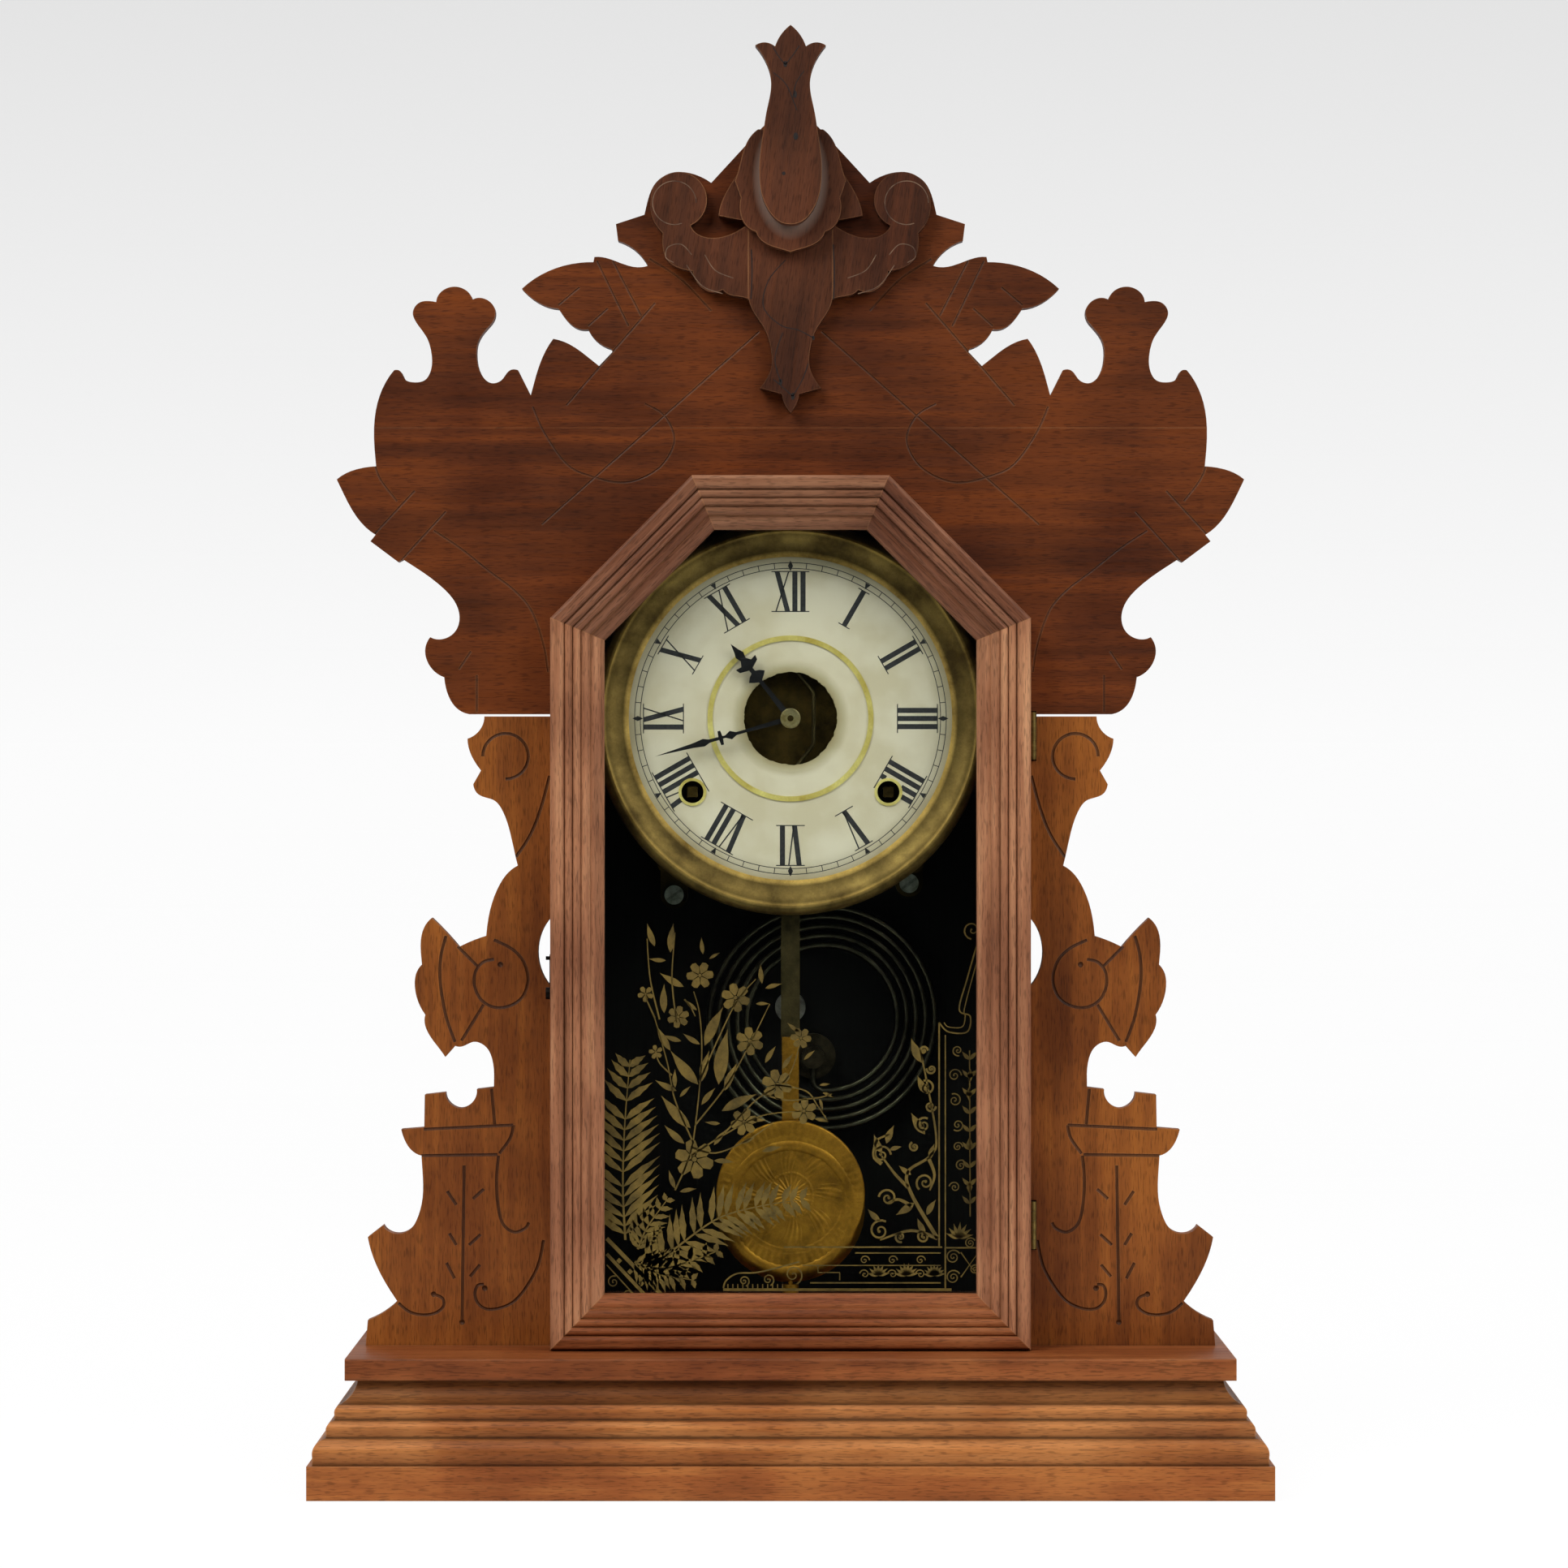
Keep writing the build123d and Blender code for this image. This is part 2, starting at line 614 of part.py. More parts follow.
leaf_reach = door_half_width - hinge_leaf_width
door_leaf_back = face_front - hinge_leaf - 2 * hinge_gap
case_leaves, door_leaves, leaf_mortises = [], [], []
knuckle_length = hinge_length / hinge_knuckles
for low, high in hinge_spans:
    pin = Pos(pin_x, pin_y, (low + high) / 2) * Cylinder(hinge_pin_radius, hinge_length)
    leaf_end = pin_x - hinge_leaf_stop
    case_leaf = block(leaf_reach, leaf_end, face_front - hinge_leaf, face_front, low, high)
    door_leaf = block(leaf_reach, leaf_end, door_leaf_back - hinge_leaf, door_leaf_back, low, high)
    for number in range(hinge_knuckles):
        base = low + number * knuckle_length
        length = knuckle_length - knuckle_end_gap
        barrel = Pos(pin_x, pin_y, base + knuckle_length / 2) * Cylinder(hinge_knuckle_radius, length)
        room = Pos(pin_x, pin_y, base + knuckle_length / 2) \
            * Cylinder(hinge_knuckle_radius + hinge_gap, knuckle_length)
        if number % 2:
            door_leaf += barrel
            case_leaf -= room
        else:
            case_leaf += barrel
            door_leaf -= room
    bore = Pos(pin_x, pin_y, (low + high) / 2) \
        * Cylinder(hinge_pin_radius + pivot_clearance, hinge_length + 2)
    leaf_mortises.append(block(leaf_reach - mortise_gap, door_half_width + 1,
                               door_leaf_back - hinge_leaf, face_front + 1,
                               low - mortise_gap, high + mortise_gap))
    case_leaves.append(case_leaf + pin)
    door_leaves.append(door_leaf - bore)
put("hinge_case_leaves_and_pins", *case_leaves)
put("hinge_door_leaves", *door_leaves)

hook_x = -(door_half_width + pivot_clearance)
latch_z = deck + latch_height
screw_seat = hook_x - latch_plate - pivot_clearance


def across(x_low, x_high, y, z, radius):
    """A round bar along X."""
    return Pos((x_low + x_high) / 2, y, z) * Rot(0, 90, 0) * Cylinder(radius, x_high - x_low)


latch_screw = across(screw_seat, screw_seat + latch_screw_length, latch_pivot_y, latch_z,
                     latch_screw_radius)
latch_screw += across(screw_seat - latch_screw_head, screw_seat, latch_pivot_y, latch_z,
                      latch_screw_head_radius)

for name, member in zip(member_names, members):
    if name == "door_stile_right":
        for mortise in leaf_mortises:
            member -= mortise
    if name == "door_stile_left":
        member -= latch_screw
    put(name, member)

rabbet_inset = door_frame_width - rabbet_width
glass_front = door_front + door_thickness - rabbet_depth
glass_back = glass_front + glass_thickness
put("door_glass", slab(face_of(inset(door_outline, rabbet_inset + glass_clearance)),
                       glass_front, glass_back))
bead_outer = inset(door_outline, rabbet_inset)
bead_inner = inset(door_outline, rabbet_inset + bead_width)
beads = []
for i in range(len(bead_outer)):
    j = (i + 1) % len(bead_outer)
    beads.append(slab(face_of([bead_outer[i], bead_outer[j], bead_inner[j], bead_inner[i]]),
                      glass_back, door_back))
put("glass_beads", *beads)

# Latch: a flat hook on the door's left edge that leans back to a catch pin

notch_radius = catch_wire_radius + latch_play
notch_across = 0.7
notch_along = sqrt((catch_y - latch_pivot_y) ** 2 + catch_rise ** 2 - notch_across ** 2)
edge_on = Plane(origin=(hook_x, latch_pivot_y, latch_z), x_dir=(0, 1, 0), z_dir=(1, 0, 0))
hook_face = Circle(hook_eye)
hook_face += Pos(0, latch_length / 2) * Rectangle(2 * hook_half_width, latch_length)
hook_face += Pos(0, latch_length) * Circle(hook_half_width)
hook_face -= Pos(notch_across, notch_along) * Circle(notch_radius)
hook_face -= Pos(notch_across + hook_eye, notch_along) * Rectangle(2 * hook_eye, 2 * notch_radius)
hook_face -= Circle(latch_screw_radius + pivot_clearance)
hook = extrude(edge_on * hook_face, -latch_plate)
tab = block(hook_x - latch_plate - hook_tab, hook_x - latch_plate, latch_pivot_y - hook_half_width,
            latch_pivot_y, latch_z + latch_length - hook_tab / 2, latch_z + latch_length + hook_tab / 2)
put("latch_hook", hook + tab)
put("latch_screw", latch_screw)
catch_arm = across(-door_half_width - latch_plate - 0.3, -catch_x, catch_y, catch_z,
                   catch_wire_radius)
catch = catch_root + Pos(-catch_x, catch_y, catch_z) * Sphere(catch_wire_radius) + catch_arm
put("catch_pin", catch)


# Dial

bezel_section = make_face([
    Line((dial_visible_radius, paper_front), (dial_visible_radius, paper_front - 0.8)),
    ThreePointArc((dial_visible_radius, paper_front - 0.8),
                  ((dial_visible_radius + bezel_ridge_radius) / 2 + 0.9, paper_front - 2.4),
                  (bezel_ridge_radius, bezel_ridge_y)),
    ThreePointArc((bezel_ridge_radius, bezel_ridge_y), (bezel_radius - 1.4, bezel_ridge_y + 1.1),
                  (bezel_radius, bezel_ridge_y + 3.6)),
    Polyline((bezel_radius, bezel_ridge_y + 3.6), (bezel_radius, dial_plate_back + 0.6),
             (dial_plate_radius, dial_plate_back + 0.6), (dial_plate_radius, plate_front),
             (paper_radius, plate_front), (paper_radius, paper_front),
             (dial_visible_radius, paper_front))])
round_dial = Plane(origin=(0, 0, dial_z), x_dir=(1, 0, 0), z_dir=(0, 0, 1))
bezel = revolve(round_dial * bezel_section, Axis((0, 0, dial_z), (0, 1, 0)))
put("dial_bezel", bezel)

winding_points = [(-winding_x, -winding_drop), (winding_x, -winding_drop)]
dial_holes = Circle(dial_hole_radius)
for x, z in winding_points:
    dial_holes += Pos(x, z) * Circle(winding_hole_radius)
put("dial_plate", slab(Circle(dial_plate_radius) - dial_holes, plate_front, dial_plate_back,
                       0, dial_z))
put("dial_paper", slab(Circle(paper_radius) - dial_holes, paper_front, plate_front, 0, dial_z))
trim_ring = Circle(ring_radius + ring_width / 2) - Circle(ring_radius - ring_width / 2)
trims = [slab(trim_ring, paper_front - ring_thickness, paper_front, 0, dial_z)]
for x, z in winding_points:
    grommet = Circle(winding_hole_radius + grommet_width) - Circle(winding_hole_radius)
    trims.append(slab(grommet, paper_front - ring_thickness, paper_front, x, dial_z + z))
put("dial_trim_rings", *trims)
post_points = [(x, dial_z + z) for x in (-post_half_width, post_half_width)
               for z in (-post_drop, post_drop)]
dial_posts = [rod(x, z, dial_plate_back, front_plate_y, post_radius) for x, z in post_points]


# Wheels and pinions, drawn about their own centre and turned so that each pair is in mesh

def teeth_face(teeth, module, towards):
    """A wheel's outline with a gap between two teeth facing the pinion it drives."""
    pitch_angle = 360 / teeth
    radius = teeth * module / 2
    corners = []
    for tooth in range(teeth):
        middle = towards + pitch_angle * (tooth + 0.5)
        for r, share in ((radius - dedendum * module, -0.25), (radius, -0.16),
                         (radius + addendum * module, -0.07), (radius + addendum * module, 0.07),
                         (radius, 0.16), (radius - dedendum * module, 0.25)):
            angle = radians(middle + share * pitch_angle)
            corners.append((r * cos(angle), r * sin(angle)))
    return face_of(corners)


def crossings(outer, inner, arms):
    """The windows that are cut out of a wheel between its arms."""
    window = Circle(outer) - Circle(inner)
    for arm in range(arms):
        window -= Rot(0, 0, 360 * arm / arms) * Pos(outer / 2, 0) * Rectangle(outer, arm_width)
    return window


def wheel(at, y, thickness, teeth, module, towards, hub):
    outline = teeth_face(teeth, module, towards)
    rim = teeth * module / 2 - dedendum * module - rim_width
    if rim > hub + 2 * hub_wall:
        outline -= crossings(rim, hub + hub_wall, 4)
    return slab(outline, y, y + thickness, *at)


def lantern(at, y_wheel, thickness, leaves, module, towards):
    """A lantern pinion that straddles the wheel which drives it, one leaf facing it."""
    middle = y_wheel + thickness / 2
    radius = leaves * module / 2
    front, back = middle - shroud_gap / 2, middle + shroud_gap / 2
    pinion = rod(*at, front - shroud_thickness, front, radius + addendum * module)
    pinion += rod(*at, back, back + shroud_thickness, radius + addendum * module)
    for leaf in range(leaves):
        angle = radians(towards + 360 * leaf / leaves)
        pinion += rod(at[0] + radius * cos(angle), at[1] + radius * sin(angle),
                      front - shroud_thickness, back + shroud_thickness, 0.5 * module)
    return pinion


def bearing(a, b):
    return degrees(atan2(b[1] - a[1], b[0] - a[0]))


def polar(a, distance, angle):
    return (a[0] + distance * cos(radians(angle)), a[1] + distance * sin(radians(angle)))


def between(a, b, from_a, from_b, side):
    """The point at given distances from two others, to one side of the line between them."""
    span = hypot(b[0] - a[0], b[1] - a[1])
    along = (from_a ** 2 - from_b ** 2 + span ** 2) / (2 * span)
    off = sqrt(from_a ** 2 - along ** 2)
    foot = polar(a, along, bearing(a, b))
    return polar(foot, side * off, bearing(a, b) + 90)


def reach(teeth, leaves, module):
    return (teeth + leaves) * module / 2


centre_at = (0.0, dial_z)
great_at = (winding_x, dial_z - winding_drop)
great_reach = reach(great_teeth, pinion_leaves, great_module)
second_reach = reach(second_teeth, pinion_leaves, second_module)
fine_reach = reach(centre_teeth, fine_leaves, fine_module)
third_reach = reach(third_teeth, fine_leaves, fine_module)
second_at = between(great_at, centre_at, great_reach, second_reach, -1)
verge_at = (0.0, deck + pendulum_pivot_height)
escape_at = (0.0, verge_at[1] - escape_drop)
third_at = between(centre_at, escape_at, fine_reach, third_reach, -1)
strike_great_at = (-winding_x, dial_z - winding_drop)
strike_second_at = polar(strike_great_at, great_reach, strike_second_bearing)
strike_second_reach = reach(strike_second_teeth, pinion_leaves, second_module)
strike_third_at = polar(strike_second_at, strike_second_reach, strike_third_bearing)
fly_reach = reach(strike_third_teeth, fine_leaves, fine_module)
fly_at = polar(strike_third_at, fly_reach, fly_bearing)
minute_reach_distance = reach(minute_wheel_teeth, pinion_leaves, great_module)
minute_stud_at = polar(centre_at, minute_reach_distance, -90)
hammer_at = (hammer_pivot[0], dial_z + hammer_pivot[1])


def arbor(at, radius=arbor_radius):
    return rod(*at, front_plate_y, movement_back, radius)


def great_wheel(at, next_at):
    """Great wheel on its winding arbor, with the square for the key at the front."""
    winding_square_end = winding_front + winding_square_length
    square = slab(Rectangle(winding_square, winding_square), winding_front, winding_square_end, *at)
    stem = rod(*at, winding_square_end, movement_back, great_arbor_radius)
    body = wheel(at, great_y, great_thickness, great_teeth, great_module, bearing(at, next_at),
                 great_arbor_radius)
    return body + stem + square


put("time_great_wheel", great_wheel(great_at, second_at))
put("strike_great_wheel", great_wheel(strike_great_at, strike_second_at))
put("time_second_wheel",
    arbor(second_at)
    + lantern(second_at, great_y, great_thickness, pinion_leaves, great_module,
              bearing(second_at, great_at))
    + wheel(second_at, second_y, wheel_thickness, second_teeth, second_module,
            bearing(second_at, centre_at), arbor_radius))
put("centre_wheel",
    rod(*centre_at, minute_hand_front - nut_height, movement_back, arbor_radius)
    + lantern(centre_at, second_y, wheel_thickness, pinion_leaves, second_module,
              bearing(centre_at, second_at))
    + wheel(centre_at, centre_y, wheel_thickness, centre_teeth, fine_module,
            bearing(centre_at, third_at), arbor_radius)
    + lantern(centre_at, minute_wheel_y, wheel_thickness, pinion_leaves, great_module,
              bearing(centre_at, minute_stud_at)))
put("third_wheel",
    arbor(third_at)
    + lantern(third_at, centre_y, wheel_thickness, fine_leaves, fine_module,
              bearing(third_at, centre_at))
    + wheel(third_at, third_y, wheel_thickness, third_teeth, fine_module,
            bearing(third_at, escape_at), arbor_radius))
escape_root = escape_radius - escape_tooth_depth
escape_corners = []
for tooth in range(escape_teeth):
    start = 360 * (tooth + 0.5) / escape_teeth
    for radius, turn in ((escape_root, 0.0), (escape_radius, 0.42), (escape_radius, 0.50),
                         (escape_root, 0.62)):
        angle = radians(start + turn * 360 / escape_teeth)
        escape_corners.append((radius * cos(angle), radius * sin(angle)))
escape_face = face_of(escape_corners) - crossings(escape_root - rim_width, arbor_radius + hub_wall, 4)
put("escape_wheel",
    arbor(escape_at)
    + lantern(escape_at, third_y, wheel_thickness, fine_leaves, fine_module,
              bearing(escape_at, third_at))
    + slab(escape_face, escape_y, escape_y + wheel_thickness, *escape_at))
put("strike_second_wheel",
    arbor(strike_second_at)
    + lantern(strike_second_at, great_y, great_thickness, pinion_leaves, great_module,
              bearing(strike_second_at, strike_great_at))
    + wheel(strike_second_at, second_y, wheel_thickness, strike_second_teeth, second_module,
            bearing(strike_second_at, strike_third_at), arbor_radius))
put("strike_third_wheel",
    arbor(strike_third_at)
    + lantern(strike_third_at, second_y, wheel_thickness, pinion_leaves, second_module,
              bearing(strike_third_at, strike_second_at))
    + wheel(strike_third_at, third_y, wheel_thickness, strike_third_teeth, fine_module,
            bearing(strike_third_at, fly_at), arbor_radius))
vane = slab(Rectangle(2 * fly_radius, fly_thickness), second_y, second_y + fly_length, *fly_at)
put("fly",
    arbor(fly_at)
    + lantern(fly_at, third_y, wheel_thickness, fine_leaves, fine_module,
              bearing(fly_at, strike_third_at))
    + vane + rod(*fly_at, second_y, second_y + fly_length, arbor_radius + fly_hub_wall))

# Motion work behind the dial: the hour hand's pipe turns on the centre arbor

pipe_inner = arbor_radius + pivot_clearance
pipe_outer = pipe_inner + pipe_wall
hour_pinion_module = great_module * (minute_wheel_teeth + pinion_leaves) \
    / (hour_wheel_teeth + pinion_leaves)
hour_wheel = wheel(centre_at, hour_wheel_y, wheel_thickness, hour_wheel_teeth,
                   hour_pinion_module, bearing(centre_at, minute_stud_at), pipe_outer)
hour_wheel += rod(*centre_at, hour_hand_front, hour_wheel_y + wheel_thickness + stub_length, pipe_outer)
put("hour_wheel", hour_wheel - rod(*centre_at, 0, movement_back, pipe_inner))
minute_pinion_top = hour_wheel_y + wheel_thickness / 2 + shroud_gap / 2
minute_wheel = lantern(minute_stud_at, hour_wheel_y, wheel_thickness, pinion_leaves,
                       hour_pinion_module, bearing(minute_stud_at, centre_at))
minute_wheel += wheel(minute_stud_at, minute_wheel_y, wheel_thickness, minute_wheel_teeth,
                      great_module, bearing(minute_stud_at, centre_at), pipe_inner)
minute_wheel += rod(*minute_stud_at, minute_pinion_top, minute_wheel_y, pipe_inner + pipe_wall)
put("minute_wheel", minute_wheel - rod(*minute_stud_at, 0, movement_back, pipe_inner))

# Hands

def blade(reach_length, hub, stations):
    """A hand drawn upwards: half widths at shares of its reach, mirrored, on a round boss."""
    right = [(width, share * reach_length) for share, width in stations]
    left = [(-x, y) for x, y in reversed(right)]
    return face_of(right + [(0, reach_length)] + left) + Circle(hub)


hour_shape = blade(hour_reach, pipe_outer + 1.6,
                   [(0.0, 1.3), (0.45, 0.8), (0.50, 0.8), (0.53, 2.6), (0.56, 3.9), (0.60, 2.4),
                    (0.62, 0.9), (0.66, 0.9), (0.70, 4.3), (0.75, 4.8), (0.74, 2.4), (0.79, 1.2),
                    (0.85, 1.9), (0.90, 1.1)])
hour_shape -= Circle(pipe_outer)
minute_shape = blade(minute_reach, arbor_radius + 2.2,
                     [(0.0, 1.1), (0.33, 0.6), (0.40, 0.6), (0.44, 1.7), (0.48, 0.5), (0.50, 0.5),
                      (0.505, 2.8), (0.525, 2.8), (0.53, 0.6), (0.60, 0.7), (0.64, 1.5),
                      (0.72, 0.9)])
minute_shape -= Circle(arbor_radius)
put("hour_hand", slab(Rot(0, 0, -hour_angle) * hour_shape, hour_hand_front,
                      hour_hand_front + hand_thickness, *centre_at))
put("minute_hand", slab(Rot(0, 0, -minute_angle) * minute_shape, minute_hand_front,
                        minute_hand_front + hand_thickness, *centre_at))
nut = slab(Circle(nut_radius) - Circle(arbor_radius), minute_hand_front - nut_height,
           minute_hand_front, *centre_at)
put("hand_nut", chamfer(nut.edges().group_by(Axis.Y)[0].filter_by(
    lambda edge: edge.length > 2 * pi * arbor_radius * 1.5), nut_bevel))

# Plates, pillars, feet and springs

plate_shape = Pos(0, dial_z + (plate_above - plate_below) / 2) \
    * Rectangle(2 * plate_half_width, plate_above + plate_below)
plate_shape = fillet(plate_shape.vertices(), plate_corner)
pillar_points = [(x, z) for x in (-plate_half_width + pillar_inset, plate_half_width - pillar_inset)
                 for z in (dial_z - plate_below + pillar_inset, dial_z + plate_above - pillar_inset)]
small_arbors = [second_at, third_at, escape_at, verge_at, strike_second_at, strike_third_at,
                fly_at, hammer_at]
plate_back_shape = plate_shape
for point in small_arbors + [centre_at]:
    plate_back_shape -= Pos(*point) * Circle(arbor_radius + pivot_clearance)
for point in (great_at, strike_great_at):
    plate_back_shape -= Pos(*point) * Circle(great_arbor_radius + pivot_clearance)
plate_front_shape = plate_back_shape - Pos(*centre_at) * Circle(pipe_outer + pivot_clearance)
front_inner = front_plate_y + plate_thickness
stud_end = minute_wheel_y + wheel_thickness + stub_length
front_plate = slab(plate_front_shape, front_plate_y, front_inner)
front_plate += rod(*minute_stud_at, front_inner, stud_end, arbor_radius)
put("movement_front_plate", front_plate)
put("movement_back_plate", slab(plate_back_shape, back_plate_y, movement_back))
pillars = [rod(x, z, front_inner, back_plate_y, pillar_radius) for x, z in pillar_points]
put("pillars_and_dial_posts", *pillars, *dial_posts)
feet, bolts = [], []
for x, z in foot_points:
    inner_z = dial_z + (foot_overlap - plate_below if z < dial_z else plate_above - foot_overlap)
    strap = Pos(x, z) * Circle(foot_radius)
    strap += Pos(x, (z + inner_z) / 2) * Rectangle(2 * foot_radius, abs(inner_z - z))
    foot = slab(strap, movement_back, movement_back + plate_thickness)
    foot += rod(x, z, movement_back + plate_thickness, backboard_front, foot_radius)
    bolt = rod(x, z, movement_back, backboard_front + bolt_reach, foot_bolt_radius)
    foot -= bolt
    bolt += rod(x, z, movement_back - foot_head_height, movement_back, foot_head_radius)
    slot = slab(Rot(0, 0, foot_slot_angle) * Rectangle(3 * foot_head_radius, foot_slot),
                movement_back - foot_head_height, movement_back - 0.6 * foot_head_height, x, z)
    feet.append(foot)
    bolts.append(bolt - slot)
put("movement_feet", *feet)
put("foot_screws", *bolts)


def mainspring(at, pillar):
    """A coil of flat strip from beside the winding arbor out to its anchoring pillar."""
    first = great_arbor_radius + pivot_clearance + spring_strip / 2
    last = hypot(pillar[0] - at[0], pillar[1] - at[1]) - pillar_radius - spring_strip / 2
    outer = spiral_arcs(first, spring_pitch / 2, spring_half_turns, spring_strip / 2)
    inner = spiral_arcs(first, spring_pitch / 2, spring_half_turns, -spring_strip / 2)
    grown = first + spring_pitch / 2 * spring_half_turns
    side = 1 if spring_half_turns % 2 == 0 else -1     # where the last half turn ends
    reach_out = []
    for shift in (spring_strip / 2, -spring_strip / 2):
        start = -side * (grown + shift)
        end = side * (last + shift)
        reach_out.append(ThreePointArc((start, 0), ((start + end) / 2, (end - start) / 2),
                                       (end, 0)))
    caps = [Line(outer[0] @ 0, inner[0] @ 0), Line(reach_out[0] @ 1, reach_out[1] @ 1)]
    strip = make_face(outer + inner + reach_out + caps)
    turned = Rot(0, 0, bearing(at, pillar) + (0 if side > 0 else 180)) * strip
    return slab(turned, spring_front, spring_front + spring_width, *at)


put("mainsprings", mainspring(great_at, pillar_points[2]),
    mainspring(strike_great_at, pillar_points[0]))

# Verge with its crutch, suspension post and pendulum

pallet_radius = escape_radius + pallet_gap
pallet_low = pallet_radius * cos(radians(pallet_span))
anchor = Circle(pallet_radius + pallet_thickness) - Circle(pallet_radius)
anchor -= Pos(0, pallet_low - 2 * pallet_radius) * Rectangle(4 * pallet_radius, 4 * pallet_radius)
anchor += Pos(0, (pallet_radius + escape_drop) / 2) * Rectangle(verge_stem, escape_drop - pallet_radius)
verge = slab(anchor, escape_y, escape_y + wheel_thickness, *escape_at)
crutch_front, crutch_back = crutch_y - crutch_radius, crutch_y + crutch_radius
verge += rod(*verge_at, crutch_front, movement_back, arbor_radius)
crutch_end = verge_at[1] - crutch_length
crutch_top = crutch_end + crutch_fork
prong_in = leader_radius + crutch_play
prong_out = prong_in + crutch_fork
prong_front = pendulum_y - 2 * leader_radius
verge += block(-crutch_radius, crutch_radius, crutch_front, crutch_back, crutch_end, verge_at[1])
verge += block(-prong_out, prong_out, crutch_front, crutch_back, crutch_end, crutch_top)
for prong in both_sides(block(prong_in, prong_out, prong_front, crutch_y, crutch_end, crutch_top)):
    verge += prong
put("verge_and_crutch", verge)

hang = verge_at[1]
post_low = hang + arbor_radius + stub_length + crutch_play
post_high = post_low + suspension_height
tip_front, tip_back = prong_front, pendulum_y + spring_half_width + spring_gap
suspension = block(-suspension_width / 2, suspension_width / 2, crutch_front, front_plate_y,
                   post_low, dial_z + plate_above - 1)
suspension += block(-suspension_neck / 2, suspension_neck / 2, tip_front, crutch_y, post_low, post_high)
suspension += block(-suspension_tip / 2, suspension_tip / 2, tip_front, tip_back,
                    hang + 2 * spring_gap, post_low)
put("suspension_post", suspension)

strip_low, strip_high = deck + strip_bottom, deck + strip_top
ferrule_top = hang - spring_length
leader_path = FilletPolyline((0, ferrule_top), (0, dial_z + leader_jog_reach),
                             (leader_jog, dial_z + leader_jog_flat),
                             (leader_jog, dial_z - leader_jog_flat),
                             (0, dial_z - leader_jog_reach), (0, strip_high - leader_lap),
                             radius=leader_bend)
leader_line = facing(pendulum_y) * leader_path
leader = sweep(Plane(origin=leader_line @ 0, z_dir=leader_line % 0) * Circle(leader_radius),
               path=leader_line)
pendulum = leader + block(-spring_blade / 2, spring_blade / 2, pendulum_y - spring_half_width,
                          pendulum_y + spring_half_width, ferrule_top, hang + spring_gap)
pendulum += block(-ferrule_half_width, ferrule_half_width, pendulum_y - spring_half_width - spring_gap,
                  pendulum_y + spring_half_width + spring_gap, ferrule_top - ferrule_below, ferrule_top)
pendulum += block(-strip_width / 2, strip_width / 2, pendulum_y - strip_thickness / 2,
                  pendulum_y + strip_thickness / 2, strip_low, strip_high)
put("pendulum_rod", pendulum)

bob_z = deck + bob_height
bob_y = pendulum_y - strip_thickness / 2
half_bob = bob_thickness / 2
bob_section = make_face([
    Line((0, -half_bob), (bob_radius - bob_rim, -half_bob)),
    ThreePointArc((bob_radius - bob_rim, -half_bob), (bob_radius - bob_rim / 2, -half_bob - 0.5),
                  (bob_radius - 1, 1.6 - half_bob)),
    Polyline((bob_radius - 1, 1.6 - half_bob), (bob_radius, 0), (bob_radius - 1, half_bob),
             (0, half_bob), (0, -half_bob))])
bob_plane = Plane(origin=(0, bob_y, bob_z), x_dir=(1, 0, 0), z_dir=(0, 0, 1))
bob = revolve(bob_plane * bob_section, Axis((0, bob_y, bob_z), (0, 1, 0)))
bob += block(-strap_width / 2, strap_width / 2, bob_y - strap_thickness, bob_y,
             bob_z + bob_radius - bob_lap, strip_low + strap_lap)
bob_stem = bob_z - bob_radius
stem_middle = bob_stem + 1 - bob_stem_length / 2
bob += Pos(0, bob_y, stem_middle) * Cylinder(bob_stem_radius, bob_stem_length)
put("pendulum_bob", bob)
nut_middle = bob_stem - rating_nut_height / 2 - stub_length
rating_nut = Pos(0, bob_y, nut_middle) * Cylinder(rating_nut_radius, rating_nut_height)
put("rating_nut", rating_nut - Pos(0, bob_y, stem_middle) * Cylinder(bob_stem_radius, bob_stem_length))

# Hammer and wire gong

head_z = dial_z + hammer_head[1]
head_x = hammer_head[0]
hammer = arbor(hammer_at)
step_high = dial_z + gong_centre[1] + gong_inner_radius - hammer_clear
step_low = step_high - (gong_y - hammer_wire_y)
hammer_path = FilletPolyline((hammer_at[0], hammer_wire_y, hammer_at[1]),
                             (head_x - 0.8, hammer_wire_y, step_high), (head_x - 0.4, gong_y, step_low),
                             (head_x, gong_y, head_z), radius=hammer_wire_bend)
hammer += sweep(Plane(origin=hammer_path @ 0, z_dir=hammer_path % 0) * Circle(hammer_wire_radius),
                path=hammer_path)
hammer += rod(head_x, head_z, gong_y - hammer_head_length / 2, gong_y + hammer_head_length / 2,
              hammer_head_radius)
put("strike_hammer", hammer)

gong_growth = (gong_outer_radius - gong_inner_radius) / gong_half_turns
gong_turns = [(Rot(0, 0, 90) * mirror(arc, about=Plane.XZ)).edge()
              for arc in spiral_arcs(gong_inner_radius, gong_growth, gong_half_turns)]
bend_low = -gong_inner_radius
bend_high = bend_low + gong_post_bend
stem_top = bend_high + gong_post_bend + gong_post_radius / 2
diagonal = gong_post_bend * (1 - cos(radians(45)))
lead_in = [Line((-gong_post_bend, stem_top), (-gong_post_bend, bend_high)),
           ThreePointArc((-gong_post_bend, bend_high),
                         (diagonal - gong_post_bend, bend_low + diagonal), (0, bend_low))]
gong_line = facing(gong_y, gong_centre[0], dial_z + gong_centre[1]) * Wire(lead_in + gong_turns)
gong = sweep(Plane(origin=gong_line @ 0, z_dir=gong_line % 0) * Circle(gong_wire_radius),
             path=gong_line)
put("gong_coil", gong)
post = rod(*gong_post, gong_y - gong_post_radius, backboard_front, gong_post_radius)
